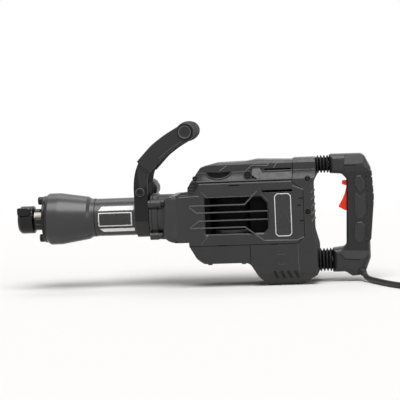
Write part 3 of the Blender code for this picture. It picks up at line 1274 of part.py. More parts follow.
def make_strap():
    """Steel strap that hugs the barrel from below and stands up as two flat legs that lean to the rear."""
    inner = BARREL_RADIUS + GAP
    outer = inner + STRAP_THICKNESS
    turns = [math.pi + math.pi * step / 16 for step in range(17)]
    outside = [(outer * math.cos(turn), outer * math.sin(turn)) for turn in turns]
    inside = [(inner * math.cos(turn), inner * math.sin(turn)) for turn in reversed(turns)]
    outline = [(-outer, STRAP_TOP)] + outside + [(outer, STRAP_TOP), (inner, STRAP_TOP)] + inside + [(-inner, STRAP_TOP)]
    piece = prism("clamp_strap", outline, STRAP_X - STRAP_WIDTH, STRAP_X + STRAP_WIDTH + LEG_LEAN, "YZ")
    rise = STRAP_TOP - CLAMP_HEIGHT
    path = [(STRAP_X, -2 * outer)] + [(STRAP_X + LEG_LEAN * lean, CLAMP_HEIGHT + rise * up) for lean, up in LEG_SHARES]
    keep(piece, prism("side_view", ribbon(path, STRAP_WIDTH / 2), -2 * outer, 2 * outer))
    cut(piece, rod("bolt_hole", CLAMP_BOLT_RADIUS + GAP, -60, 60, "Y", (STRAP_X, 0, CLAMP_HEIGHT)))
    return dress(piece, "black_steel", SWIVEL_PIVOT)


def make_saddle():
    """Block between the strap's legs that presses on top of the barrel."""
    half = BARREL_RADIUS
    low = BARREL_RADIUS * 0.7
    block = rounded([(-half, low), (half, low), (half, CLAMP_HEIGHT + 16, 4), (-half, CLAMP_HEIGHT + 16, 4)])
    piece = prism("saddle_block", block, STRAP_X - STRAP_WIDTH / 2 + 1, STRAP_X + STRAP_WIDTH / 2 - 1, "YZ")
    cut(piece, rod("barrel_bed", BARREL_RADIUS + GAP, STRAP_X - 40, STRAP_X + 40, "X", segments=LARGE_SEGMENTS))
    cut(piece, rod("bolt_hole", CLAMP_BOLT_RADIUS + GAP, -60, 60, "Y", (STRAP_X, 0, CLAMP_HEIGHT)))
    return dress(piece, "black_steel", SWIVEL_PIVOT)


def make_clamp():
    """Clamp bolt with its hex head on the near side and its round knob on the far side."""
    seat = BARREL_RADIUS + STRAP_THICKNESS + 2 * GAP
    knob_end = seat + KNOB_DEPTH
    bolt = rod("clamp_bolt", CLAMP_BOLT_RADIUS, -seat - 1, knob_end - 6, "Y", (STRAP_X, 0, CLAMP_HEIGHT))
    fuse(bolt, turned("head", [
        (0, -seat - 7), (CLAMP_HEAD_RADIUS - 1, -seat - 7), (CLAMP_HEAD_RADIUS, -seat - 6), (CLAMP_HEAD_RADIUS, -seat), (0, -seat),
    ], "Y", (STRAP_X, 0, CLAMP_HEIGHT), 6))
    dress(bolt, "black_steel", SWIVEL_PIVOT)
    bore = CLAMP_BOLT_RADIUS + GAP
    knob = turned("clamp_knob", [
        (bore, seat), (CLAMP_HEAD_RADIUS + 2, seat), (CLAMP_HEAD_RADIUS + 3, seat + 4), (KNOB_RADIUS - 2, seat + 7),
        (KNOB_RADIUS, seat + 10), (KNOB_RADIUS, knob_end - 4), (KNOB_RADIUS - 4, knob_end), (0, knob_end),
        (0, knob_end - 5), (bore, knob_end - 5),
    ], "Y", (STRAP_X, 0, CLAMP_HEIGHT), 16)
    for step in range(KNOB_FLUTES):
        turn = 2 * math.pi * (step + 0.5) / KNOB_FLUTES
        reach = KNOB_RADIUS + 3.5
        place = (STRAP_X + reach * math.cos(turn), 0, CLAMP_HEIGHT + reach * math.sin(turn))
        cut(knob, rod("flute", 5.5, seat + 5, knob_end + 2, "Y", place, 6))
    return dress(knob, "dark_plastic", KNOB_PIVOT)


def arm_path():
    """Centre line of an arm, from the strap's leg up and back to the grip."""
    foot = STRAP_TOP - ARM_WIDTH / 2
    run = SIDE_GRIP_X - STRAP_X
    rise = SIDE_GRIP_HEIGHT - foot
    places = [(STRAP_X + run * across, 0, foot + rise * up) for across, up in ARM_SHARES]
    return [Vector((spot.x, spot.z)) for spot in smooth_route(places, ARM_WIDTH / 2)]


def arm_outline():
    """Side view of an arm: a band of even width along its path that ends in a round eye."""
    path = arm_path()
    end = path[-1]
    ahead = (end - path[-2]).normalized()
    half = ARM_WIDTH / 2
    radius = half + ARM_EYE_RIM
    back = math.sqrt(radius ** 2 - half ** 2)
    band = ribbon([spot for spot in path if (end - spot).dot(ahead) > back] + [end - ahead * back], half)
    heading = math.atan2(ahead.y, ahead.x)
    sweep = math.pi - math.asin(half / radius)
    turns = [heading + sweep * (step / EYE_POINTS * 2 - 1) for step in range(1, EYE_POINTS)]
    eye = [(end.x + radius * math.cos(turn), end.y + radius * math.sin(turn)) for turn in turns]
    return band[:len(band) // 2] + eye + band[len(band) // 2:]


def make_arm(name, side):
    """Curved flat arm outside a leg of the strap, with a round eye for the grip's rod."""
    inner = BARREL_RADIUS + STRAP_THICKNESS + 2 * GAP
    outer = inner + ARM_THICKNESS
    low, high = min(side * inner, side * outer), max(side * inner, side * outer)
    piece = prism(name, arm_outline(), low, high)
    cut(piece, rod("eye_hole", GRIP_ROD_RADIUS + GAP, low - 1, high + 1, "Y", (SIDE_GRIP_X, 0, SIDE_GRIP_HEIGHT), 16))
    return dress(piece, "dark_plastic", SWIVEL_PIVOT)


def make_side_grip():
    """Ribbed rubber grip on a steel rod whose round caps show outside the arms."""
    inner = BARREL_RADIUS + STRAP_THICKNESS + 2 * GAP
    half = inner - GAP
    bore = GRIP_ROD_RADIUS + GAP
    profile = [(bore, -half), (SIDE_GRIP_RADIUS - 2, -half)]
    pitch = 2 * half / GRIP_RIBS
    for rib in range(GRIP_RIBS):
        start = -half + pitch * rib
        swell = 1.5 * math.sin(math.pi * (rib + 0.5) / GRIP_RIBS)
        low, high = SIDE_GRIP_RADIUS - 2.5 + swell, SIDE_GRIP_RADIUS - 1 + swell
        profile += [(low, start + 0.06 * pitch), (high, start + 0.35 * pitch), (high, start + 0.75 * pitch)]
    profile += [(SIDE_GRIP_RADIUS - 2, half), (bore, half)]
    grip = turned("side_grip", profile, "Y", (SIDE_GRIP_X, 0, SIDE_GRIP_HEIGHT), 14)
    dress(grip, "soft_rubber", SWIVEL_PIVOT)
    seat = inner + ARM_THICKNESS + GAP
    cap = seat + 5
    bar = turned("grip_rod", [
        (0, -cap), (GRIP_CAP_RADIUS - 1.5, -cap), (GRIP_CAP_RADIUS, -cap + 1.5), (GRIP_CAP_RADIUS, -seat),
        (GRIP_ROD_RADIUS, -seat), (GRIP_ROD_RADIUS, seat), (GRIP_CAP_RADIUS, seat), (GRIP_CAP_RADIUS, cap - 1.5),
        (GRIP_CAP_RADIUS - 1.5, cap), (0, cap),
    ], "Y", (SIDE_GRIP_X, 0, SIDE_GRIP_HEIGHT), 14)
    return dress(bar, "black_steel", SWIVEL_PIVOT)


# Mains cord

def from_floor(place):
    """A place given from the floor, in the hammer's frame."""
    return Vector(place) - Vector((0, 0, AXIS_HEIGHT))


def make_cord_guard():
    """Tapered rubber guard with grooves, aimed along the cord's first stretch."""
    start, end = guard_line()
    length = (end - start).length
    profile = [(0, 0), (GUARD_RADIUS, 0)]
    shown = length * 0.55
    pitch = shown / GUARD_GROOVES
    profile.append((GUARD_RADIUS, length - shown))
    for groove in range(GUARD_GROOVES):
        along = length - shown + pitch * groove
        radius = GUARD_RADIUS + (GUARD_TIP_RADIUS - GUARD_RADIUS) * (groove + 0.5) / GUARD_GROOVES
        profile += [(radius - 0.8, along + 0.15 * pitch), (radius - 0.8, along + 0.4 * pitch)]
        profile += [(radius, along + 0.5 * pitch), (radius, along + 0.95 * pitch)]
    profile += [(GUARD_TIP_RADIUS, length), (0, length)]
    piece = aimed(turned("cord_guard", profile, "Z", segments=SMALL_SEGMENTS), start, end)
    return dress(piece, "soft_rubber", HANDLE_PIVOT)


def coil_points():
    """Places along the coil: a spiral in, a climbing half turn and a spiral out on top."""
    x, y, lift = CORD_ROUTE[-1]
    centre = Vector((x + 2 * CORD_RADIUS + 3, y + COIL_RADIUS, 0))
    reach = COIL_PITCH * COIL_TURNS
    inward = round(COIL_TURNS * LOOP_POINTS)
    climb = round(LOOP_POINTS / 2)
    outward = inward - round(LOOP_POINTS / 4)
    places = [Vector((x + GAP, y, lift)), Vector((centre.x - 3, y, lift))]
    for index in range(inward + climb + outward + 1):
        turn = -math.pi / 2 + 2 * math.pi * index / LOOP_POINTS
        if index <= inward:
            radius, height = COIL_RADIUS - reach * index / inward, lift
        elif index <= inward + climb:
            share = (index - inward) / climb
            radius = COIL_RADIUS - reach - CLIMB_DIP * math.sin(math.pi * share)
            height = lift + COIL_PITCH * (1 - math.cos(math.pi * share)) / 2
        else:
            share = (index - inward - climb) / inward
            radius, height = COIL_RADIUS - reach + reach * share, lift + COIL_PITCH
        places.append(centre + Vector((radius * math.cos(turn), radius * math.sin(turn), height)))
    end = places[-1]
    ahead = Vector((-math.sin(turn), math.cos(turn), 0))
    return places + [end + ahead * 3, end + ahead * LEAD_OUT]


def least_gap(places):
    """Smallest clear space between parts of the tube that are more than half a turn apart."""
    least = math.inf
    for index, place in enumerate(places):
        for other in range(index + round(LOOP_POINTS / 2), len(places) - 1):
            start, end = places[other], places[other + 1]
            along = end - start
            share = max(0.0, min(1.0, (place - start).dot(along) / along.length_squared))
            least = min(least, (start + along * share - place).length)
    return least - 2 * CORD_RADIUS


def make_cord():
    """Free stretch of the cord, its storage coil, the tie round the coil and the plug."""
    route = [CORD_ROUTE[0]] + smooth_route(CORD_ROUTE[1:-1], 5 * CORD_RADIUS) + [CORD_ROUTE[-1]]
    cord = wire("cord", [from_floor(place) for place in route], CORD_RADIUS, 2)
    dress(cord, "soft_rubber", HANDLE_PIVOT)
    places = coil_points()
    print("coil: least gap %.2f mm" % least_gap(places))
    coil = wire("cord_coil", [from_floor(place) for place in places], CORD_RADIUS, 1)
    dress(coil, "soft_rubber", HANDLE_PIVOT)
    make_tie()
    make_plug(places)


def make_tie():
    """Flat band round the coil's turns, on the side away from the cord's entry."""
    x, y, lift = CORD_ROUTE[-1]
    middle_x = x + 2 * CORD_RADIUS + 3
    middle_y = y + COIL_RADIUS
    inner = COIL_RADIUS - COIL_PITCH * COIL_TURNS - CLIMB_DIP - CORD_RADIUS - 3 * GAP
    outer = COIL_RADIUS + CORD_RADIUS + GAP
    low = lift - CORD_RADIUS - GAP - AXIS_HEIGHT
    high = lift + COIL_PITCH + CORD_RADIUS + GAP - AXIS_HEIGHT
    window = [
        (middle_x + inner, low), (middle_x + outer, low), (middle_x + outer, high), (middle_x + inner, high),
    ]
    low_y = middle_y - TIE_WIDTH / 2
    piece = prism("coil_tie", rounded([(*spot, 2) for spot in inset(window, -TIE_THICKNESS)]), low_y, low_y + TIE_WIDTH)
    cut(piece, prism("window", window, low_y - 1, low_y + TIE_WIDTH + 1))
    return dress(piece, "soft_rubber", HANDLE_PIVOT)


def make_plug(places):
    """Two-pin mains plug at the coil's outer end."""
    end = from_floor(places[-1])
    ahead = end - from_floor(places[-2])
    start = end + ahead.normalized() * GAP
    neck = CORD_RADIUS + 2.5
    piece = turned("plug", [
        (0, 0), (neck - 1, 0), (neck, 2), (neck + 1.5, 14), (PLUG_RADIUS - 2, 17), (PLUG_RADIUS, 21),
        (PLUG_RADIUS, PLUG_LENGTH), (0, PLUG_LENGTH),
    ], "Z", segments=14)
    for side in (-1, 1):
        fuse(piece, turned("pin", [
            (0, PLUG_LENGTH - 3), (2.4, PLUG_LENGTH - 3), (2.4, PLUG_LENGTH + PIN_LENGTH - 1),
            (1.6, PLUG_LENGTH + PIN_LENGTH), (0, PLUG_LENGTH + PIN_LENGTH),
        ], "Z", (0, side * 9.5, 0), 8))
    aimed(piece, start, start + ahead)
    return dress(piece, "soft_rubber", HANDLE_PIVOT)


def build():
    make_tool_holder()
    make_retainer_lever()
    make_front_cover()
    make_front_bolts()
    make_barrel()
    make_striking_train()
    make_connecting_rod()
    make_crankshaft()
    make_idler()
    make_bearings()
    make_armature()
    make_stator()
    make_crankcase()
    make_sump_plate()
    make_lower_housing()
    make_gear_cover()
    make_side_cover("side_cover_near", -1)
    make_side_cover("side_cover_far", 1)
    make_tail_cover()
    make_oil_cap()
    make_handle("handle_near", -1)
    make_handle("handle_far", 1)
    make_grip_pad()
    make_trigger()
    make_handle_mount("upper", UPPER_ROD_HEIGHT, UPPER_ROD_END_X, UPPER_BELLOWS_RADIUS, TAIL_REAR_X)
    make_handle_mount("lower", LOWER_ROD_HEIGHT, LOWER_ROD_END_X, LOWER_BELLOWS_RADIUS, TAIL_REAR_X - 1)
    make_strap()
    make_saddle()
    make_clamp()
    make_arm("arm_near", -1)
    make_arm("arm_far", 1)
    make_side_grip()
    make_cord_guard()
    make_cord()


clear_scene()
FINISH = make_finishes()
FRAME = pivot("hammer_axis", 0, 0, AXIS_HEIGHT)
LATCH_PIVOT = pivot("latch_axis", LATCH_X, 0, LATCH_HEIGHT, FRAME)
ANVIL_PIVOT = pivot("anvil_slide", ANVIL_REAR_X, 0, 0, FRAME)
STRIKER_PIVOT = pivot("striker_slide", STRIKER_REAR_X, 0, 0, FRAME)
PISTON_PIVOT = pivot("piston_slide", WRIST_X, 0, 0, FRAME)
ROD_PIVOT = pivot("rod_swing", WRIST_X, 0, 0, FRAME)
CRANK_PIVOT = pivot("crank_axis", CRANK_X, 0, 0, FRAME)
IDLER_PIVOT = pivot("idler_axis", IDLER_X, 0, 0, FRAME)
MOTOR_PIVOT = pivot("motor_axis", MOTOR_X, 0, 0, FRAME)
SWIVEL_PIVOT = pivot("side_handle_axis", STRAP_X, 0, 0, FRAME)
KNOB_PIVOT = pivot("knob_axis", STRAP_X, 0, CLAMP_HEIGHT, FRAME)
HANDLE_PIVOT = pivot("handle_slide", HANDLE_FRONT_X, 0, 0, FRAME)
TRIGGER_PIVOT = pivot("trigger_axis", TRIGGER_X, 0, TRIGGER_HEIGHT, FRAME)
build()
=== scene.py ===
"""Looks of an electric demolition hammer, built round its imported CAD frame.

Sizes are in millimetres and MM turns them into Blender's metres. X runs from the tool nose to the
rear handle, the near side faces -Y, and heights in the outlines count from the hammer axis.
"""

import math

import bmesh
import bpy
from mathutils import Matrix, Vector


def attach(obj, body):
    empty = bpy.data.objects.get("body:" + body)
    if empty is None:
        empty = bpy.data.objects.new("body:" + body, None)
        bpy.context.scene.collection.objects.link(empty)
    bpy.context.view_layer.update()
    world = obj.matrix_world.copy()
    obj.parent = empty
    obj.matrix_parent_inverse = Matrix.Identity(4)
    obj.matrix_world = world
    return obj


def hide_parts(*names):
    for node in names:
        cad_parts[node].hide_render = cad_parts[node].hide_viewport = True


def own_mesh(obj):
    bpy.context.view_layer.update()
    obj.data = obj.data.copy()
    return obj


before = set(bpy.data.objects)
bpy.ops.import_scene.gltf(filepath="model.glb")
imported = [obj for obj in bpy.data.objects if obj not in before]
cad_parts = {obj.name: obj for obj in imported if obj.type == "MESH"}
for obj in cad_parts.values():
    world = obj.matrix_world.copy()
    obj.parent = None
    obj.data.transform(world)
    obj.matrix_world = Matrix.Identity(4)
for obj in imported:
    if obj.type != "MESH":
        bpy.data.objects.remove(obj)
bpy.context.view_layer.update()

MM = 0.001
GAP = 0.3
ARC_STEP = math.radians(8)
FINE = 96
MEDIUM = 48
SMALL = 32

# Camera: angles in degrees, place along its own axes from the hammer axis, focal length in pixels
CAMERA_TURN = 7.0
CAMERA_RISE = 4.0
CAMERA_ROLL = -2.552
CAMERA_PLACE = (-162.97, 21.76, 3500.0)
FOCAL_PIXELS = 1768.9
PICTURE_PIXELS = 400
SENSOR_WIDTH = 36.0

# Body of the hammer
AXIS_HEIGHT = 142.0
FLOOR = -AXIS_HEIGHT
BODY_HALF_WIDTH = 58.0
FOOT_HALF_WIDTH = 42.0
BELLY_SHOULDER = 22.0
LOWER_SEAM = -59.5
UPPER_SEAM = 65.3
RIDGE_HALF_WIDTH = 31.0
RIDGE_FOOT = 82.5
RIDGE_CHAMFER = 8.0
RIDGE_TOP = 105.0
RIDGE_STEP = 3.5
RIDGE_FALL = 3.0
WALL = 4.0
CASE_FRONT_X = -255.5
CASE_FLANGE = 11.5
CASE_NECK = 27.0
CASE_TOP = 41.0
CASE_BOTTOM = -54.0
CHIN = -52.0
PANEL_FRONT_X = -204.0
PANEL_REAR_X = 46.0
BELLY_FRONT_X = -181.0
BELLY_STEP_X = -60.0
BELLY_SEAM_X = 32.0
PANEL_SHELF_X = BELLY_FRONT_X + 21
TAIL_SEAM_X = 25.5
TAIL_REAR_X = 70.0
TAIL_WAIST = 9.0
VENT_LEFT_X = -148.0
VENT_RIGHT_X = -25.0
VENT_LOW = -36.5
VENT_HIGH = 34.0
RIB_HEIGHTS = (20.0, 6.0, -10.0, -24.0)
RIB_HALF = 1.15
RIB_PROUD = 1.4
OIL_CAP_X = -120.0
OIL_CAP_RADIUS = 26.0
SHELF_LOW = -122.0
SHELF_HIGH = -118.0

# Screws of the covers, in side view
TAIL_SCREWS = ((55.5, 0, 66.0), (54.0, 0, 1.5))
RIDGE_SCREW = (-61.0, 0, 76.5)
FRONT_SCREW = (-167.0, 0, 73.0)
BELLY_SCREWS_X = (-143.6, -77.0)
BELLY_SCREW_HEIGHT = -95.0

# Crank chamber inside the case
CRANK_X = -97.675
IDLER_X = -46.0
CRANK_GEAR_RADIUS = 39.22
GEAR_ROOM_REAR_X = 20.0
GEAR_ROOM_ROUND = 18.0
BEARING_BORES = ((CRANK_X, 26.3), (IDLER_X, 16.3), (0.0, 16.3))
CHAMBER_RADIUS = 46.0
CHAMBER_FLOOR = -30.0
CRANK_DISC_HIGH = 23.0
DECK_TOP = 36.0
CYLINDER_OUTER = 29.7

# Barrel, front cover and tool nose
BARREL_REAR_X = CASE_FRONT_X - GAP
BARREL_FRONT_X = BARREL_REAR_X - 116.4
BARREL_RADIUS = 37.5
BARREL_FLANGE_RADIUS = 44.0
BARREL_FLANGE = 5.0
BARREL_BOLTS = ((42.0, 26.0), (31.0, -38.0))
LUG_RADIUS = 8.0
LUG_FOOT = 7.0
COVER_REAR_X = BARREL_FRONT_X - GAP
COVER_FRONT_X = COVER_REAR_X - 99.2
COVER_FRONT_RADIUS = 51.5
COVER_REAR_RADIUS = 41.5
FLANGE_REAR_X = COVER_FRONT_X - GAP
FLANGE_FRONT_X = FLANGE_REAR_X - 5
NOSE_REAR_X = FLANGE_FRONT_X - 19.5
NOSE_FRONT_X = NOSE_REAR_X - 33
NOSE_RADIUS = 27.5
NECK_RADIUS = 21.5
NOSE_FLANGE_RADIUS = 47.0
SLEEVE_RADIUS = 25.0
HEX_FLATS = 30.0
ANVIL_BORE = 13.8
BOLT_HOLE = 5.3
HEX_END_X = NOSE_FRONT_X + 92
FRONT_BOLT_CIRCLE = 37.5
BOLT_HEAD_RADIUS = 8.0
BOLT_HEAD = 12.5
LATCH_X = NOSE_FRONT_X + 20
LATCH_HEIGHT = 18.5
LATCH_RADIUS = 6.5
THUMB_HALF = 7.5
THUMB_SINK = 4.0

# Side handle
STRAP_X = -275.5
STRAP_HALF = 13.5
STRAP_THICKNESS = 4.0
STRAP_TOP = 108.0
LEG_LEAN = 13.5
LEG_SHARES = ((0.0, 0.15), (0.09, 0.38), (0.3, 0.62), (0.67, 0.85), (1.0, 1.0))
CLAMP_HEIGHT = 50.0
CLAMP_SEAT = BARREL_RADIUS + STRAP_THICKNESS + 2 * GAP
KNOB_RADIUS = 20.0
KNOB_FLUTES = 6
KNOB_END = CLAMP_SEAT + 60
ARM_THICKNESS = 9.0
ARM_WIDTH = 33.0
ARM_EYE_RIM = 1.5
ARM_SHARES = ((0.09, 0.108), (0.273, 0.355), (0.398, 0.514), (0.518, 0.63), (0.682, 0.773), (1.0, 1.0))
SIDE_GRIP_X = -181.0
SIDE_GRIP_HEIGHT = 165.5
SIDE_GRIP_RADIUS = 19.5
GRIP_ROD_HOLE = 6.3
GRIP_RIBS = 14

# Rear handle
HANDLE_FRONT_X = 96.0
HANDLE_HALF_WIDTH = 21.0
HANDLE_ROUND = 13.0
HANDLE_WALL = 6.0
UPPER_ROD_HEIGHT = 90.0
LOWER_ROD_HEIGHT = -99.0
ROD_RADIUS = 7.0
TRIGGER_X = 138.0
TRIGGER_HEIGHT = 54.0
TRIGGER_HALF_WIDTH = 9.0
TRIGGER_SLOT = (-5.0, 63.0)
TRUNNION_RADIUS = 3.0
TRUNNION_HALF = 15.0
PAD_HALF_WIDTH = 16.0
GRIP_FLANK = 16.6
BELLOWS_FOLDS = 4
FOLD_STEPS = 12
FOLD_DEPTH = 5.2
SPRING_TURNS = 4
SPRING_STEPS = 24
SPRING_RADIUS = 9.6
WIRE_RADIUS = 1.2
WIRE_SIDES = 8

# Mains cord, with heights from the floor
CORD_RADIUS = 5.5
CORD_ROUTE = [
    (157.1, -22.0, 15.3), (162.2, -30.7, 8.75), (169.5, -44.0, 6.3), (178.5, -61.0, 5.8),
    (189.0, -83.0, 5.8), (203.0, -110.0, 5.8), (221.0, -140.0, 5.8), (245.0, -170.0, 5.8),
    (274.0, -194.0, 6.2), (302.0, -206.0, 6.9), (322.0, -208.5, 7.2), (336.0, -208.5, 7.2),
]
GUARD_START = (146.0, -3.0, 29.6)
GUARD_RADIUS = 8.5
GUARD_RINGS = 4
GUARD_PLAIN_SHARE = 0.42
GUARD_TAPER = 1.9
GUARD_RING = ((0.9, 0.12), (0.9, 0.34), (0.1, 0.46), (0, 0.7), (0.15, 0.94))
COIL_TURNS = 3
COIL_RADIUS = 79.0
COIL_PITCH = 11.8
CLIMB_DIP = 3.0
LOOP_POINTS = 24
LEAD_OUT = 46.0
TIE_WIDTH = 14.0
TIE_THICKNESS = 1.0
PLUG_RADIUS = 18.5
PLUG_LENGTH = 40.0
PIN_LENGTH = 19.0
PIN_RADIUS = 2.4
PIN_SPREAD = 9.5


# Camera

def make_camera():
    """Camera at the photograph's angle: near side, a little from behind the nose and from above."""
    turn, rise, roll = (math.radians(angle) for angle in (CAMERA_TURN, CAMERA_RISE, CAMERA_ROLL))
    right = Vector((math.cos(turn), math.sin(turn), 0))
    up = Vector((-math.sin(turn) * math.sin(rise), math.cos(turn) * math.sin(rise), math.cos(rise)))
    back = right.cross(up)
    across = right * math.cos(roll) + up * math.sin(roll)
    above = up * math.cos(roll) - right * math.sin(roll)
    along, lift, away = CAMERA_PLACE
    place = Vector((0, 0, AXIS_HEIGHT)) + across * along + above * lift + back * away
    data = bpy.data.cameras.new("camera")
    data.sensor_width = SENSOR_WIDTH
    data.lens = FOCAL_PIXELS / PICTURE_PIXELS * SENSOR_WIDTH
    camera = new_object("camera", data)
    turned_to = Matrix((across, above, back)).transposed()
    camera.matrix_world = Matrix.Translation(place * MM) @ turned_to.to_4x4()
    bpy.context.scene.camera = camera


# Finishes

class Paint:
    """A node tree for one finish, with short names for the nodes that the finishes share."""

    def __init__(self, name):
        self.material = bpy.data.materials.new(name)
        self.material.use_nodes = True
        self.tree = self.material.node_tree
        self.shader = self.tree.nodes["Principled BSDF"]
        self.coords = self.node("ShaderNodeTexCoord").outputs["Object"]

    def node(self, kind, **values):
        made = self.tree.nodes.new(kind)
        for label, value in values.items():
            setattr(made, label, value)
        return made

    def join(self, start, end):
        self.tree.links.new(start, end)

    def drive(self, label, source):
        """Let a node set one of the shader's inputs."""
        self.join(source, self.shader.inputs[label])

    def noise(self, scale, detail=3.0, stretch=(1, 1, 1)):
        """Noise over the piece's own coordinates, stretched along an axis where asked."""
        mapping = self.node("ShaderNodeMapping")
        mapping.inputs["Scale"].default_value = stretch
        self.join(self.coords, mapping.inputs["Vector"])
        texture = self.node("ShaderNodeTexNoise")
        texture.inputs["Scale"].default_value = scale
        texture.inputs["Detail"].default_value = detail
        self.join(mapping.outputs["Vector"], texture.inputs["Vector"])
        return texture.outputs["Fac"]

    def ramp(self, source, *stops):
        made = self.node("ShaderNodeValToRGB")
        ramp = made.color_ramp
        while len(ramp.elements) < len(stops):
            ramp.elements.new(0.5)
        for element, (place, colour) in zip(ramp.elements, stops):
            element.position = place
            element.color = (*colour, 1.0)
        self.join(source, made.inputs["Fac"])
        return made.outputs["Color"]

    def span(self, source, low, high, start=0.3, end=0.7):
        """Spread a varying value over a range of numbers."""
        made = self.node("ShaderNodeMapRange")
        made.inputs["From Min"].default_value = start
        made.inputs["From Max"].default_value = end
        made.inputs["To Min"].default_value = low
        made.inputs["To Max"].default_value = high
        self.join(source, made.inputs["Value"])
        return made.outputs["Result"]

    def mix(self, share, first, second):
        made = self.node("ShaderNodeMix", data_type="RGBA")
        self.join(share, made.inputs["Factor"])
        self.join(first, made.inputs["A"])
        if isinstance(second, tuple):
            made.inputs["B"].default_value = (*second, 1.0)
        else:
            self.join(second, made.inputs["B"])
        return made.outputs["Result"]

    def edges(self, radius):
        """How close a point is to an edge, and the normal of that edge rounded over."""
        bevel = self.node("ShaderNodeBevel", samples=4)
        bevel.inputs["Radius"].default_value = radius * MM
        geometry = self.node("ShaderNodeNewGeometry")
        dot = self.node("ShaderNodeVectorMath", operation="DOT_PRODUCT")
        self.join(bevel.outputs["Normal"], dot.inputs[0])
        self.join(geometry.outputs["Normal"], dot.inputs[1])
        return self.span(dot.outputs["Value"], 1.0, 0.0, 0.8, 0.995), bevel.outputs["Normal"]

    def bump(self, height, strength, depth, normal=None):
        made = self.node("ShaderNodeBump")
        made.inputs["Strength"].default_value = strength
        made.inputs["Distance"].default_value = depth * MM
        self.join(height, made.inputs["Height"])
        if normal is not None:
            self.join(normal, made.inputs["Normal"])
        self.join(made.outputs["Normal"], self.shader.inputs["Normal"])
        return made.outputs["Normal"]

    def set(self, **values):
        for label, value in values.items():
            self.shader.inputs[label.replace("_", " ")].default_value = value
        return self


def tinted(colour, share):
    return tuple(min(1.0, part * share) for part in colour)


def worn_finish(
    name, colour, roughness, worn,
    specular=0.5, grain=1400, grain_depth=0.05, mottle=0.2, edge=1.2, uneven=1.0,
):
    """Moulded or painted finish: mottled colour, fine grain, uneven gloss and edges that have worn."""
    paint = Paint(name)
    cloudy = paint.noise(22, 4)
    fine = paint.noise(grain, 2)
    streaks = paint.noise(160, 3)
    body = paint.ramp(cloudy, (0.3, tinted(colour, 1 - mottle)), (0.7, tinted(colour, 1 + mottle)))
    near_edge, round_normal = paint.edges(edge)
    patchy = paint.node("ShaderNodeMath", operation="MULTIPLY")
    paint.join(near_edge, patchy.inputs[0])
    paint.join(paint.span(streaks, 0.15, 0.8), patchy.inputs[1])
    paint.drive("Base Color", paint.mix(patchy.outputs[0], body, worn))
    paint.drive("Roughness", paint.span(streaks, roughness - 0.07 * uneven, roughness + 0.08 * uneven))
    paint.bump(fine, 0.35, grain_depth, round_normal)
    paint.set(Specular_IOR_Level=specular)
    return paint.material


def rubber_finish(name, colour, roughness=0.68, stipple=900):
    """Soft rubber: a stippled skin, dusty high spots and a dull sheen."""
    paint = Paint(name)
    cells = paint.node("ShaderNodeTexVoronoi")
    cells.inputs["Scale"].default_value = stipple
    paint.join(paint.coords, cells.inputs["Vector"])
    dust = paint.noise(60, 4)
    body = paint.ramp(dust, (0.35, tinted(colour, 0.75)), (0.7, tinted(colour, 1.5)))
    near_edge, round_normal = paint.edges(0.8)
    paint.drive("Base Color", paint.mix(paint.span(near_edge, 0.0, 0.35, 0, 1), body, tinted(colour, 3.2)))
    paint.drive("Roughness", paint.span(dust, roughness - 0.08, roughness + 0.1))
    paint.bump(cells.outputs["Distance"], 0.3, 0.12, round_normal)
    paint.set(Specular_IOR_Level=0.4, Sheen_Weight=0.08, Sheen_Roughness=0.4)
    return paint.material


def steel_finish(name, colour, roughness, stretch, tarnish):
    """Machined steel: turning or brushing lines, tarnish in clouds and polished edges."""
    paint = Paint(name)
    lines = paint.noise(700, 2, stretch)
    clouds = paint.noise(35, 4)
    body = paint.ramp(clouds, (0.3, tarnish), (0.62, colour))
    near_edge, round_normal = paint.edges(0.7)
    paint.drive("Base Color", paint.mix(paint.span(near_edge, 0.0, 0.6, 0, 1), body, tinted(colour, 1.25)))
    paint.drive("Roughness", paint.span(lines, roughness - 0.06, roughness + 0.12))
    paint.bump(lines, 0.2, 0.03, round_normal)
    paint.set(Metallic=1.0)
    return paint.material


def banded_finish(name, first, second, pitch, axis, roughness, metallic):
    """Stacked layers or wound turns: fine bands along one axis of the piece."""
    paint = Paint(name)
    wave = paint.node("ShaderNodeTexWave", wave_type="BANDS", bands_direction=axis, wave_profile="TRI")
    wave.inputs["Scale"].default_value = 1 / (pitch * MM) / 20
    wave.inputs["Distortion"].default_value = 0.4
    paint.join(paint.coords, wave.inputs["Vector"])
    paint.drive("Base Color", paint.ramp(wave.outputs["Fac"], (0.25, first), (0.75, second)))
    paint.drive("Roughness", paint.span(paint.noise(90), roughness - 0.06, roughness + 0.1))
    paint.bump(wave.outputs["Fac"], 0.5, 0.2)
    paint.set(Metallic=metallic)
    return paint.material


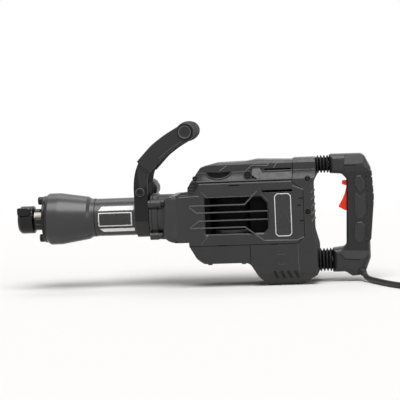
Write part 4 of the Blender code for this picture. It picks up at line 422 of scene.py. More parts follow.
def make_finishes():
    """Every finish of the hammer, by the name its pieces use."""
    bright = (0.3, 0.3, 0.3)
    grey = (0.2, 0.2, 0.2)
    pale = (0.16, 0.16, 0.165)
    dim = (0.12, 0.12, 0.125)
    red = (0.93, 0.032, 0.008)
    enamel = {"grain": 1500, "grain_depth": 0.002, "mottle": 0.12, "edge": 0.2, "uneven": 0.25}
    made = [
        worn_finish("shell_plastic", (0.013, 0.013, 0.0135), 0.36, pale),
        # Pale greys for the ribs' faces and the raised lines, painted as highlights where edges catch the
        # light; the first also greys the clamp bolt's head
        worn_finish("pale_and_highlight_grey", (0.07, 0.07, 0.072), 0.4, grey),
        worn_finish("painted_highlight_grey", grey, 0.4, bright),
        worn_finish("case_paint", (0.018, 0.018, 0.019), 0.36, pale, grain=700),
        worn_finish("cover_enamel", (0.014, 0.014, 0.0148), 0.3, bright, specular=0.62, **enamel),
        worn_finish("barrel_enamel", (0.012, 0.012, 0.0128), 0.28, bright, specular=0.58, **enamel),
        worn_finish("black_gloss", (0.003, 0.003, 0.0032), 0.2, grey, specular=0.3, grain=500),
        worn_finish("black_satin", (0.005, 0.005, 0.0053), 0.34, dim, specular=0.26, grain=600),
        worn_finish("arm_black", (0.011, 0.011, 0.0115), 0.46, (0.1, 0.1, 0.105), specular=0.4),
        worn_finish("grip_plastic", (0.012, 0.012, 0.0125), 0.46, (0.12, 0.12, 0.12), specular=0.36),
        worn_finish("matte_plastic", (0.03, 0.03, 0.031), 0.8, (0.1, 0.1, 0.1), specular=0.1),
        # Near-black used as painted shade inside the vent, recesses, folds and creases, and for the dark seam
        # lines
        worn_finish("shade_and_seam_black", (0.0015, 0.0015, 0.0016), 0.7, (0.003, 0.003, 0.003), specular=0.08),
        worn_finish("trigger_red", red, 0.36, (0.95, 0.12, 0.06), specular=0.25, mottle=0.06),
        worn_finish("white_plate", (0.8, 0.8, 0.79), 0.35, (0.88, 0.88, 0.88), mottle=0.05),
        worn_finish("plate_fill", (0.016, 0.016, 0.017), 0.3, (0.05, 0.05, 0.05), grain=400),
        rubber_finish("grip_rubber", (0.016, 0.016, 0.017)),
        rubber_finish("bellows_rubber", (0.011, 0.011, 0.012), 0.55),
        rubber_finish("cord_rubber", (0.02, 0.02, 0.021), 0.52, 500),
        steel_finish("turned_steel", (0.6, 0.6, 0.61), 0.26, (6, 0.2, 0.2), (0.4, 0.39, 0.38)),
        steel_finish("ground_steel", (0.5, 0.5, 0.52), 0.3, (0.3, 3, 3), (0.33, 0.32, 0.3)),
        steel_finish("gear_steel", (0.32, 0.31, 0.3), 0.36, (2, 2, 0.3), (0.18, 0.16, 0.13)),
        steel_finish("brass_pin", (0.62, 0.5, 0.28), 0.28, (3, 3, 0.3), (0.45, 0.34, 0.18)),
        banded_finish("core_stack", (0.09, 0.085, 0.08), (0.32, 0.2, 0.1), 1.4, "Z", 0.42, 0.7),
        banded_finish("field_stack", (0.06, 0.06, 0.062), (0.17, 0.17, 0.175), 1.1, "Z", 0.48, 0.6),
        worn_finish("resin_brown", (0.09, 0.045, 0.022), 0.5, (0.2, 0.12, 0.07)),
    ]
    return {material.name: material for material in made}


# Outlines

def rectangle(left, low, right, high, *radius):
    """Corners of a rectangle, each with the radius if one is given."""
    return [(left, low, *radius), (right, low, *radius), (right, high, *radius), (left, high, *radius)]


def hexagon(corner, centre=(0, 0)):
    """Corners of a hexagon that lie at one distance from its centre."""
    turns = [math.pi * step / 3 for step in range(6)]
    return [(centre[0] + corner * math.cos(turn), centre[1] + corner * math.sin(turn)) for turn in turns]


def between(side, inner, outer):
    """Two distances from the middle plane as stations on one side, the lower first."""
    return sorted((side * inner, side * outer))


def on_side(side, corners):
    """Corners seen from behind, put on one side of the middle plane."""
    return [(side * y, h) for y, h in corners]


def starting_at(x, corners):
    """Side-view corners that are given from a station along the hammer."""
    return [(x + corner[0], *corner[1:]) for corner in corners]


def lines_at(flat, station):
    """Side-view lines as paths at one station across the hammer."""
    return [[(u, station, v) for u, v in line] for line in flat]


def rounded(corners, step=ARC_STEP):
    """Outline through the corners, with an arc at each corner that gives a radius."""
    points = []
    for index, corner in enumerate(corners):
        here = Vector(corner[:2])
        if len(corner) == 2:
            points.append(tuple(here))
            continue
        before = (Vector(corners[index - 1][:2]) - here).normalized()
        after = (Vector(corners[(index + 1) % len(corners)][:2]) - here).normalized()
        turn = math.pi - before.angle(after)
        centre = here + (before + after).normalized() * corner[2] / math.cos(turn / 2)
        start = here + before * corner[2] * math.tan(turn / 2) - centre
        side = 1 if before.cross(after) < 0 else -1
        steps = max(2, round(turn / step))
        for part in range(steps + 1):
            spoke = start.copy()
            spoke.rotate(Matrix.Rotation(side * turn * part / steps, 2))
            points.append(tuple(centre + spoke))
    return points


def inset(corners, depth):
    """The same outline moved inwards by a wall, with its radii eased to match."""
    count = len(corners)
    area = sum(corners[i - 1][0] * corners[i][1] - corners[i][0] * corners[i - 1][1] for i in range(count))
    turn = 1 if area > 0 else -1
    moved = []
    for index, corner in enumerate(corners):
        here = Vector(corner[:2])
        arriving = (here - Vector(corners[index - 1][:2])).normalized()
        leaving = (Vector(corners[(index + 1) % count][:2]) - here).normalized()
        first = Vector((-arriving.y, arriving.x)) * turn
        second = Vector((-leaving.y, leaving.x)) * turn
        place = here + (first + second) * depth / (1 + first.dot(second))
        if len(corner) == 3:
            convex = arriving.cross(leaving) * turn > 0
            radius = max(corner[2] - depth, GAP) if convex else corner[2] + depth
            moved.append((place.x, place.y, radius))
        else:
            moved.append((place.x, place.y))
    return moved


def ribbon(path, half):
    """Outline of a band of even width along a path."""
    spots = [Vector(spot) for spot in path]
    left = []
    right = []
    for index, spot in enumerate(spots):
        before = (spot - spots[index - 1]).normalized() if index else (spots[1] - spot).normalized()
        after = (spots[index + 1] - spot).normalized() if index + 1 < len(spots) else before
        across = Vector((-before.y - after.y, before.x + after.x)) / (1 + before.dot(after))
        left.append(tuple(spot + across * half))
        right.append(tuple(spot - across * half))
    return right + left[::-1]


def smooth_route(places, step):
    """Points at an even step along a smooth curve through the places."""
    spots = [Vector(place) for place in places]
    spots = [2 * spots[0] - spots[1]] + spots + [2 * spots[-1] - spots[-2]]
    fine = []
    for a, b, c, d in zip(spots, spots[1:], spots[2:], spots[3:]):
        for part in range(20):
            t = part / 20
            bend = 2 * b + (c - a) * t + (2 * a - 5 * b + 4 * c - d) * t ** 2
            fine.append((bend + (3 * b - a - 3 * c + d) * t ** 3) / 2)
    fine.append(spots[-2])
    length = sum((b - a).length for a, b in zip(fine, fine[1:]))
    count = max(1, round(length / step))
    route = [fine[0]]
    walked = 0.0
    for a, b in zip(fine, fine[1:]):
        walked += (b - a).length
        if walked >= len(route) * length / count and len(route) < count:
            route.append(b)
    return route + [fine[-1]]


# Solids

def spot(x, y, h):
    """A place in the hammer's own millimetres, in the frame's metres."""
    return Vector((x, y, h + AXIS_HEIGHT)) * MM


def new_object(name, data):
    made = bpy.data.objects.new(name, data)
    bpy.context.scene.collection.objects.link(made)
    return made


def solid(name, mesh):
    bmesh.ops.recalc_face_normals(mesh, faces=mesh.faces)
    data = bpy.data.meshes.new(name)
    mesh.to_mesh(data)
    mesh.free()
    return new_object(name, data)


def skinned(name, rings):
    """Skin rings of equal point counts, with the two ends filled."""
    mesh = bmesh.new()
    made = [[mesh.verts.new(spot(*place)) for place in ring] for ring in rings]
    mesh.faces.new(made[0])
    mesh.faces.new(made[-1])
    for first, second in zip(made, made[1:]):
        for index in range(len(first)):
            mesh.faces.new((first[index - 1], first[index], second[index], second[index - 1]))
    return solid(name, mesh)


def prism(name, outline, low, high, plane="XZ"):
    """Extrude an outline in one of the main planes between two stations across it."""
    places = {
        "XZ": lambda u, v, w: (u, w, v),
        "XY": lambda u, v, w: (u, v, w),
        "YZ": lambda u, v, w: (w, u, v),
    }
    place = places[plane]
    return skinned(name, [[place(u, v, station) for u, v in outline] for station in (low, high)])


def loft(name, sections):
    """Skin side-view outlines, given with their stations across the hammer."""
    return skinned(name, [[(u, station, v) for u, v in outline] for outline, station in sections])


def turned(name, profile, axis="X", centre=(0, 0, 0), segments=FINE):
    """Turn a closed profile of (radius, station) points about a line along one main axis."""
    places = {
        "X": lambda r, turn, s: (s, r * math.cos(turn), r * math.sin(turn)),
        "Y": lambda r, turn, s: (r * math.cos(turn), s, r * math.sin(turn)),
        "Z": lambda r, turn, s: (r * math.cos(turn), r * math.sin(turn), s),
    }
    place = places[axis]
    mesh = bmesh.new()
    rings = []
    for radius, station in profile:
        count = segments if radius > 1e-6 else 1
        turns = [2 * math.pi * (step + 0.5) / count for step in range(count)]
        spots = [Vector(place(radius, turn, station)) + Vector(centre) for turn in turns]
        rings.append([mesh.verts.new(spot(*place_of)) for place_of in spots])
    for ring, following in zip(rings, rings[1:] + rings[:1]):
        for step in range(max(len(ring), len(following))):
            corners = [
                ring[step % len(ring)], ring[(step + 1) % len(ring)],
                following[(step + 1) % len(following)], following[step % len(following)],
            ]
            corners = list(dict.fromkeys(corners))
            if len(corners) > 2:
                mesh.faces.new(corners)
    return solid(name, mesh)


def rod(name, radius, low, high, axis, centre=(0, 0, 0), segments=MEDIUM):
    return turned(name, rectangle(0, low, radius, high), axis, centre, segments)


def aimed(piece, start, towards):
    """Move a piece made along Z from the axis so that it starts at one place and points at another."""
    direction = Vector(towards) - Vector(start)
    turn = direction.to_track_quat("Z", "Y").to_matrix().to_4x4()
    piece.data.transform(Matrix.Translation(-spot(0, 0, 0)))
    piece.data.transform(Matrix.Translation(spot(*start)) @ turn)
    return piece


def evaluated_mesh(piece):
    bpy.context.view_layer.update()
    evaluated = piece.evaluated_get(bpy.context.evaluated_depsgraph_get())
    return bpy.data.meshes.new_from_object(evaluated)


def settle(piece):
    """Make what the modifiers give the piece's plain mesh."""
    data = evaluated_mesh(piece)
    piece.modifiers.clear()
    piece.data = data
    return piece


def is_closed(data):
    mesh = bmesh.new()
    mesh.from_mesh(data)
    closed = all(edge.is_manifold for edge in mesh.edges)
    mesh.free()
    return closed


def combine(piece, tool, operation):
    """Boolean a tool into the piece; the second solver is for cuts that the first leaves open."""
    modifier = piece.modifiers.new("combine", "BOOLEAN")
    modifier.operation = operation
    modifier.object = tool
    for solver in ("EXACT", "MANIFOLD"):
        modifier.solver = solver
        data = evaluated_mesh(piece)
        if is_closed(data):
            break
    piece.modifiers.clear()
    piece.data = data
    bpy.data.objects.remove(tool, do_unlink=True)
    return piece


def cut(piece, *tools):
    for tool in tools:
        combine(piece, tool, "DIFFERENCE")
    return piece


def fuse(piece, *tools):
    for tool in tools:
        combine(piece, tool, "UNION")
    return piece


def keep(piece, *tools):
    for tool in tools:
        combine(piece, tool, "INTERSECT")
    return piece


def soften(piece, width, segments=7, angle=40):
    """Round the piece's sharp edges."""
    modifier = piece.modifiers.new("soften", "BEVEL")
    modifier.width = width * MM
    modifier.segments = segments
    modifier.limit_method = "ANGLE"
    modifier.angle_limit = math.radians(angle)
    return settle(piece)


def joined(name, pieces):
    """Several separate solids as one mesh."""
    mesh = bmesh.new()
    for piece in pieces:
        mesh.from_mesh(piece.data)
        bpy.data.objects.remove(piece, do_unlink=True)
    return solid(name, mesh)


def coat(piece, finish):
    """Give the whole piece one finish."""
    piece.data.materials.clear()
    piece.data.materials.append(FINISH[finish])
    return piece


def put(piece, finish, body, *nodes, crease=14):
    """Dress a finished piece, let it ride on its body and stand for its CAD nodes."""
    if finish:
        coat(piece, finish)
    if piece.type == "MESH":
        piece.data.shade_smooth()
        piece.data.set_sharp_from_angle(angle=math.radians(crease))
        weighted = piece.modifiers.new("weighted", "WEIGHTED_NORMAL")
        weighted.keep_sharp = True
        settle(piece)
    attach(piece, body)
    if nodes:
        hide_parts(*nodes)
    return piece


def paint_where(piece, finish, test, facing=None):
    """Give a second finish to the faces whose middles, in the hammer's millimetres, pass a test."""
    piece.data.materials.append(FINISH[finish])
    index = len(piece.data.materials) - 1
    for face in piece.data.polygons:
        middle = face.center / MM
        turned_away = facing and face.normal.dot(Vector(facing)) < 0.6
        if not turned_away and test(middle.x, middle.y, middle.z - AXIS_HEIGHT):
            face.material_index = index
    return piece


# Geometry node trees for what repeats

def new_tree(name, inputs):
    tree = bpy.data.node_groups.new(name, "GeometryNodeTree")
    tree.is_modifier = True
    tree.interface.new_socket("Geometry", in_out="INPUT", socket_type="NodeSocketGeometry")
    sockets = {}
    for label, kind in inputs:
        sockets[label] = tree.interface.new_socket(label, in_out="INPUT", socket_type=kind).identifier
    tree.interface.new_socket("Geometry", in_out="OUTPUT", socket_type="NodeSocketGeometry")
    start = tree.nodes.new("NodeGroupInput")
    end = tree.nodes.new("NodeGroupOutput")
    return tree, sockets, start, end


def close_tree(tree, start, end, source):
    """End a tree: plain geometry in the finish that is asked for."""
    link = tree.links.new
    realize = tree.nodes.new("GeometryNodeRealizeInstances")
    finish = tree.nodes.new("GeometryNodeSetMaterial")
    link(source, realize.inputs["Geometry"])
    link(realize.outputs["Geometry"], finish.inputs["Geometry"])
    link(start.outputs["Finish"], finish.inputs["Material"])
    link(finish.outputs["Geometry"], end.inputs["Geometry"])


def fastener_tree():
    """Heads of screws and bolts, one on each point, turned to the way the point faces."""
    tree, sockets, start, end = new_tree("fasteners", [
        ("Head", "NodeSocketObject"), ("Size", "NodeSocketFloat"), ("Finish", "NodeSocketMaterial"),
    ])
    link = tree.links.new
    points = tree.nodes.new("GeometryNodeMeshToPoints")
    facing = tree.nodes.new("GeometryNodeInputNamedAttribute")
    facing.data_type = "FLOAT_VECTOR"
    facing.inputs["Name"].default_value = "facing"
    align = tree.nodes.new("FunctionNodeAlignRotationToVector")
    align.axis = "Z"
    head = tree.nodes.new("GeometryNodeObjectInfo")
    instances = tree.nodes.new("GeometryNodeInstanceOnPoints")
    link(start.outputs["Geometry"], points.inputs["Mesh"])
    link(points.outputs["Points"], instances.inputs["Points"])
    link(start.outputs["Head"], head.inputs["Object"])
    link(head.outputs["Geometry"], instances.inputs["Instance"])
    link(facing.outputs["Attribute"], align.inputs["Vector"])
    link(align.outputs["Rotation"], instances.inputs["Rotation"])
    link(start.outputs["Size"], instances.inputs["Scale"])
    close_tree(tree, start, end, instances.outputs["Instances"])
    return tree, sockets


def bead_tree():
    """Raised lines: a round bead swept along every path."""
    tree, sockets, start, end = new_tree("beads", [
        ("Radius", "NodeSocketFloat"), ("Finish", "NodeSocketMaterial"),
    ])
    link = tree.links.new
    curve = tree.nodes.new("GeometryNodeMeshToCurve")
    circle = tree.nodes.new("GeometryNodeCurvePrimitiveCircle")
    circle.inputs["Resolution"].default_value = 10
    sweep = tree.nodes.new("GeometryNodeCurveToMesh")
    sweep.inputs["Fill Caps"].default_value = True
    link(start.outputs["Geometry"], curve.inputs["Mesh"])
    link(curve.outputs["Curve"], sweep.inputs["Curve"])
    link(start.outputs["Radius"], circle.inputs["Radius"])
    link(circle.outputs["Curve"], sweep.inputs["Profile Curve"])
    close_tree(tree, start, end, sweep.outputs["Mesh"])
    return tree, sockets


def run_tree(piece, built, values):
    """Turn a tree's result into the piece's plain mesh."""
    tree, sockets = built
    modifier = piece.modifiers.new(tree.name, "NODES")
    modifier.node_group = tree
    for label, value in values.items():
        modifier[sockets[label]] = value
    return settle(piece)


def fasteners(name, head, places, finish, body, *nodes):
    """Set a head on each (place, facing) pair, as one piece, and clear the loose head away."""
    data = bpy.data.meshes.new(name)
    data.from_pydata([spot(*place) for place, _ in places], [], [])
    facing = data.attributes.new("facing", "FLOAT_VECTOR", "POINT")
    for entry, (_, direction) in zip(facing.data, places):
        entry.vector = direction
    piece = new_object(name, data)
    run_tree(piece, FASTENERS, {"Head": head, "Size": 1.0, "Finish": FINISH[finish]})
    bpy.data.objects.remove(head, do_unlink=True)
    return put(piece, None, body, *nodes)


def beads(name, paths, radius, finish, body):
    """Raised lines along paths in the hammer's millimetres, as one piece."""
    data = bpy.data.meshes.new(name)
    places = []
    edges = []
    for path in paths:
        first = len(places)
        places += [spot(*place) for place in path]
        edges += [(first + step, first + step + 1) for step in range(len(path) - 1)]
    data.from_pydata(places, edges, [])
    piece = new_object(name, data)
    run_tree(piece, BEADS, {"Radius": radius * MM, "Finish": FINISH[finish]})
    return put(piece, None, body, crease=60)


def at_origin(piece):
    """Bring a head that was made on the axis to the frame's origin."""
    piece.data.transform(Matrix.Translation(-spot(0, 0, 0)))
    piece.data.shade_smooth()
    piece.data.set_sharp_from_angle(angle=math.radians(33))
    return piece


def socket_head(name, radius, height, shank, reach):
    """Cap screw that faces +Z, with a hex socket in its head."""
    piece = turned(name, rounded([
        (0, -reach), (shank, -reach), (shank, 0), (radius, 0, 0.4), (radius, height, 1.2), (0, height),
    ]), "Z", segments=MEDIUM)
    return at_origin(cut(piece, prism("key", hexagon(radius * 0.52), height * 0.45, height + 2, "XY")))


def hex_head(name, flats, height, shank, reach):
    """Hex bolt that faces +Z, with a chamfered head and a washer face."""
    corner = flats / math.sqrt(3)
    piece = prism(name, hexagon(corner), 1, height, "XY")
    keep(piece, turned("crown", [
        (0, 0), (corner + 1, 0), (corner + 1, height - 1.6), (flats * 0.46, height), (0, height + 0.01),
    ], "Z", segments=MEDIUM))
    fuse(piece, rod("washer", flats * 0.56, 0, 1.2, "Z"))
    fuse(piece, rod("shank", shank, -reach, 0.5, "Z"))
    return at_origin(piece)


# Mains cord

def coil_points():
    """Places along the coil: a spiral in, a climbing half turn and a spiral out on top."""
    x, y, lift = CORD_ROUTE[-1]
    centre = Vector((x + 2 * CORD_RADIUS + 3, y + COIL_RADIUS, 0))
    reach = COIL_PITCH * COIL_TURNS
    inward = COIL_TURNS * LOOP_POINTS
    climb = LOOP_POINTS // 2
    outward = inward - LOOP_POINTS // 4
    places = [Vector((centre.x - 3, y, lift))]
    for index in range(inward + climb + outward + 1):
        turn = -math.pi / 2 + 2 * math.pi * index / LOOP_POINTS
        if index <= inward:
            radius, height = COIL_RADIUS - reach * index / inward, lift
        elif index <= inward + climb:
            share = (index - inward) / climb
            radius = COIL_RADIUS - reach - CLIMB_DIP * math.sin(math.pi * share)
            height = lift + COIL_PITCH * (1 - math.cos(math.pi * share)) / 2
        else:
            share = (index - inward - climb) / inward
            radius, height = COIL_RADIUS - reach + reach * share, lift + COIL_PITCH
        places.append(centre + Vector((radius * math.cos(turn), radius * math.sin(turn), height)))
    end = places[-1]
    ahead = Vector((-math.sin(turn), math.cos(turn), 0))
    return places + [end + ahead * 3, end + ahead * LEAD_OUT]


def make_cord():
    """The whole lead on one line, its guard at the handle, the tie round its coil and its plug."""
    free = [Vector(CORD_ROUTE[0])] + smooth_route(CORD_ROUTE[1:-1], 14) + [Vector(CORD_ROUTE[-1])]
    places = free + coil_points()
    curve = bpy.data.curves.new("mains_cord", "CURVE")
    curve.dimensions = "3D"
    curve.bevel_depth = CORD_RADIUS * MM
    curve.bevel_resolution = 6
    curve.use_fill_caps = True
    line = curve.splines.new("POLY")
    line.points.add(len(places) - 1)
    for point, place in zip(line.points, places):
        point.co = (*(place * MM), 1.0)
    line.use_smooth = True
    cord = new_object("mains_cord", curve)
    put(cord, "cord_rubber", "rear_handle", "cord", "cord_coil")
    guard = make_cord_guard()
    tie = make_tie()
    plug = make_plug(places)


def guard_line():
    """Start of the cord guard inside the handle, and its tip, from the hammer axis."""
    drop = Vector((0, 0, AXIS_HEIGHT))
    start = Vector(GUARD_START) - drop
    end = Vector(CORD_ROUTE[0]) - drop
    return start, end - (end - start).normalized() * GAP


def make_cord_guard():
    """Tapered rubber guard with rings round it, aimed along the cord's first stretch."""
    start, end = guard_line()
    length = (end - start).length
    plain = length * GUARD_PLAIN_SHARE
    pitch = (length - plain) / GUARD_RINGS
    profile = [(0, 0), (GUARD_RADIUS, 0), (GUARD_RADIUS, plain)]
    for ring in range(GUARD_RINGS):
        along = plain + pitch * ring
        radius = GUARD_RADIUS - GUARD_TAPER * (ring + 0.5) / GUARD_RINGS
        profile += [(radius - depth, along + share * pitch) for depth, share in GUARD_RING]
    profile += [(6.3, length), (0, length)]
    piece = aimed(turned("guard_sleeve", profile, "Z", segments=MEDIUM), start, end)
    return put(piece, "cord_rubber", "rear_handle", "cord_guard")


def make_tie():
    """Flat band round the coil's turns, with its tongue folded over the top."""
    x, y, lift = CORD_ROUTE[-1]
    middle_x = x + 2 * CORD_RADIUS + 3
    middle_y = y + COIL_RADIUS
    inner = COIL_RADIUS - COIL_PITCH * COIL_TURNS - CLIMB_DIP - CORD_RADIUS - 3 * GAP
    outer = COIL_RADIUS + CORD_RADIUS + GAP
    low = lift - CORD_RADIUS - GAP - AXIS_HEIGHT
    high = lift + COIL_PITCH + CORD_RADIUS + GAP - AXIS_HEIGHT
    window = rectangle(middle_x + inner, low, middle_x + outer, high)
    low_y = middle_y - TIE_WIDTH / 2
    band = rounded([(*place, 2) for place in inset(window, -TIE_THICKNESS)])
    piece = prism("coil_band", band, low_y, low_y + TIE_WIDTH)
    cut(piece, prism("window", window, low_y - 1, low_y + TIE_WIDTH + 1))
    left = middle_x + inner + 8
    tongue = rounded(rectangle(left, high + 0.8, left + 24, high + 1.9, 0.3))
    fuse(piece, prism("tongue", tongue, low_y + 2, low_y + TIE_WIDTH - 2))
    return put(piece, "bellows_rubber", "rear_handle", "coil_tie")


def make_plug(places):
    """Two-pin mains plug at the coil's outer end, with finger grooves and sleeved pins."""
    drop = Vector((0, 0, AXIS_HEIGHT))
    end = places[-1] - drop
    ahead = (places[-1] - places[-2]).normalized()
    start = end + ahead * GAP
    piece = turned("plug_body", rounded([
        (0, 0), (7, 0, 0.6), (8, 3, 1), (9.4, 14, 4), (PLUG_RADIUS - 2, 17, 3), (PLUG_RADIUS, 22, 4),
        (PLUG_RADIUS, PLUG_LENGTH, 1.5), (0, PLUG_LENGTH),
    ]), "Z", segments=MEDIUM)
    for ring in range(3):
        groove = 3.5 + 3.6 * ring
        cut(piece, turned("relief", rectangle(6, groove, 14, groove + 1.4), "Z", segments=MEDIUM))
    root, tip = PLUG_LENGTH - 3, PLUG_LENGTH + PIN_LENGTH
    pin = rounded([(0, root), (PIN_RADIUS, root), (PIN_RADIUS, tip, PIN_RADIUS / 2), (0, tip)])
    fuse(piece, *[turned("pin", pin, "Z", (0, side * PIN_SPREAD, 0), SMALL) for side in (-1, 1)])
    coat(piece, "cord_rubber")
    paint_where(piece, "brass_pin", lambda x, y, h: h > PLUG_LENGTH + 0.01)
    aimed(piece, start, start + ahead)
    return put(piece, None, "rear_handle", "plug")


# Tool nose, front cover and barrel

def front_bolt_places():
    turns = [math.pi / 2 * step for step in range(4)]
    return [(FRONT_BOLT_CIRCLE * math.cos(turn), FRONT_BOLT_CIRCLE * math.sin(turn)) for turn in turns]


def barrel_bolt_places():
    return [(side * y, z) for y, z in BARREL_BOLTS for side in (-1, 1)]


def make_tool_nose():
    """Hex socket with a chamfered ring, a neck with a bright steel patch on each side painted there as a
    glint, and a bolted flange.
    """
    sleeve = HEX_END_X + 2
    piece = turned("tool_nose", rounded([
        (0, NOSE_FRONT_X), (NOSE_RADIUS - 4, NOSE_FRONT_X, 0.8), (NOSE_RADIUS, NOSE_FRONT_X + 5, 2),
        (NOSE_RADIUS, NOSE_REAR_X - 3, 1.5), (NECK_RADIUS, NOSE_REAR_X, 1), (NECK_RADIUS, FLANGE_FRONT_X, 3),
        (NOSE_FLANGE_RADIUS, FLANGE_FRONT_X, 1.2), (NOSE_FLANGE_RADIUS, FLANGE_REAR_X, 0.6),
        (SLEEVE_RADIUS, FLANGE_REAR_X), (SLEEVE_RADIUS, sleeve), (0, sleeve),
    ]))
    cut(piece, prism("hex", hexagon(HEX_FLATS / math.sqrt(3)), NOSE_FRONT_X - 1, HEX_END_X, "YZ"))
    cut(piece, rod("tail_bore", ANVIL_BORE, HEX_END_X - 1, sleeve + 1, "X"))
    reach = NOSE_RADIUS + 5
    flat = rectangle(NOSE_FRONT_X - 1, LATCH_HEIGHT - THUMB_HALF - GAP, NOSE_REAR_X + 2, reach)
    cut(piece, prism("thumb_flat", flat, -reach, -NOSE_RADIUS + THUMB_SINK + GAP))
    cut(piece, rod("latch_bore", LATCH_RADIUS + GAP, -reach, reach, "Y", (LATCH_X, 0, LATCH_HEIGHT)))
    for y, z in front_bolt_places():
        cut(piece, rod("bolt_hole", BOLT_HOLE, FLANGE_FRONT_X - 1, FLANGE_REAR_X + 1, "X", (0, y, z), SMALL))
    coat(piece, "black_gloss")

    def on_painted_glint(x, y, h):
        along = NOSE_REAR_X - 0.5 < x < FLANGE_FRONT_X - 5
        return along and 5 < h < 16 and 18 < math.hypot(y, h) < 24

    # A band of bright steel on the neck, painted as a glint
    paint_where(piece, "gear_steel", on_painted_glint)
    return put(piece, None, "body", "tool_holder")


def make_retainer_lever():
    """Cross pin with a thumb lever, rounded all over."""
    piece = rod("retainer", LATCH_RADIUS, -NOSE_RADIUS - 1, NOSE_RADIUS + 2, "Y", (LATCH_X, 0, LATCH_HEIGHT))
    flat = LATCH_HEIGHT + LATCH_RADIUS * 0.35
    cut(piece, prism("pin_flat", rectangle(LATCH_X - 8, flat, LATCH_X + 8, flat + 9), -12.5, 12.5))
    thumb = rounded([
        (LATCH_X - 19, LATCH_HEIGHT - THUMB_HALF, 3), (LATCH_X + 6, LATCH_HEIGHT - THUMB_HALF, 6),
        (LATCH_X + 6, LATCH_HEIGHT + THUMB_HALF, 6), (LATCH_X - 19, LATCH_HEIGHT + THUMB_HALF, 3),
    ])
    lever = soften(prism("thumb", thumb, -NOSE_RADIUS - 3, -NOSE_RADIUS + THUMB_SINK), 1)
    fuse(piece, lever)
    return put(piece, "black_gloss", "retainer", "retainer_lever")


def make_front_bolts():
    head = socket_head("front_head", BOLT_HEAD_RADIUS, BOLT_HEAD, 5, 30)
    places = [((FLANGE_FRONT_X - GAP, y, z), (-1, 0, 0)) for y, z in front_bolt_places()]
    nodes = ["front_bolt_" + side for side in ("far", "top", "near", "bottom")]
    fasteners("front_bolts", head, places, "black_gloss", "body", *nodes)


def make_front_cover():
    """Turned cover that bells out from the barrel and carries the nose."""
    inner = SLEEVE_RADIUS + GAP
    step = HEX_END_X + 2 + GAP
    piece = turned("bell_cover", rounded([
        (inner, COVER_FRONT_X), (COVER_FRONT_RADIUS - 4, COVER_FRONT_X, 1.5),
        (COVER_FRONT_RADIUS, COVER_FRONT_X + 6, 5), (COVER_FRONT_RADIUS, COVER_FRONT_X + 28, 40),
        (COVER_REAR_RADIUS + 1, COVER_REAR_X - 15, 3),
        (BARREL_RADIUS + 0.8, COVER_REAR_X - 8, 7), (BARREL_RADIUS + 0.8, COVER_REAR_X),
        (CYLINDER_OUTER + GAP, COVER_REAR_X), (CYLINDER_OUTER + GAP, step), (inner, step),
    ], math.radians(3)), segments=128)
    for y, z in front_bolt_places():
        cut(piece, rod("bolt_hole", BOLT_HOLE, COVER_FRONT_X - 1, COVER_FRONT_X + 27, "X", (0, y, z), SMALL))
    coat(piece, "cover_enamel")
    paint_where(piece, "black_gloss", lambda x, y, h: x < COVER_FRONT_X + 5.5)
    return put(piece, None, "body", "front_cover")


def make_barrel():
    """Round barrel with a lugged flange at the crankcase."""
    flange = BARREL_REAR_X - BARREL_FLANGE
    inner = CYLINDER_OUTER + GAP
    piece = turned("barrel_tube", rounded([
        (inner, BARREL_FRONT_X), (BARREL_RADIUS, BARREL_FRONT_X, 1), (BARREL_RADIUS, flange, 2.5),
        (BARREL_FLANGE_RADIUS, flange, 1), (BARREL_FLANGE_RADIUS, BARREL_REAR_X, 0.5), (inner, BARREL_REAR_X),
    ]), segments=128)
    for y, z in barrel_bolt_places():
        fuse(piece, rod("lug", LUG_RADIUS, flange, BARREL_REAR_X, "X", (0, y, z)))
    return put(piece, "barrel_enamel", "body", "barrel")


def wrapped(name, outline, proud, hole=None):
    """Thin plate with a side-view outline, wrapped round the near side of the barrel."""
    piece = prism(name, outline, -60, 0)
    if hole:
        cut(piece, prism("hole", hole, -70, 70))
    tube = rectangle(BARREL_RADIUS - 0.2, BARREL_FRONT_X - 30, BARREL_RADIUS + proud, BARREL_REAR_X)
    return keep(piece, turned("tube", tube, segments=160))


def make_barrel_plates():
    """Two bright bars and a bare framed plate on the near side of the barrel."""
    upper = [(-364, 15), (-292, 15), (-292, 23.5), (-356.5, 23.5)]
    lower = [(-355, -27), (-292, -27), (-292, -20.3), (-362, -20.3)]
    rim = rectangle(-363.5, -15.8, -296, 11.5)
    hole = inset(rim, 1.9)
    bars = [wrapped("bar", outline, 0.5) for outline in (upper, lower)]
    bars.append(wrapped("rim", rim, 0.7, hole))
    put(joined("barrel_bars", bars), "white_plate", "body")
    put(wrapped("barrel_plate", inset(hole, 0.2), 0.35), "plate_fill", "body")


# Side handle

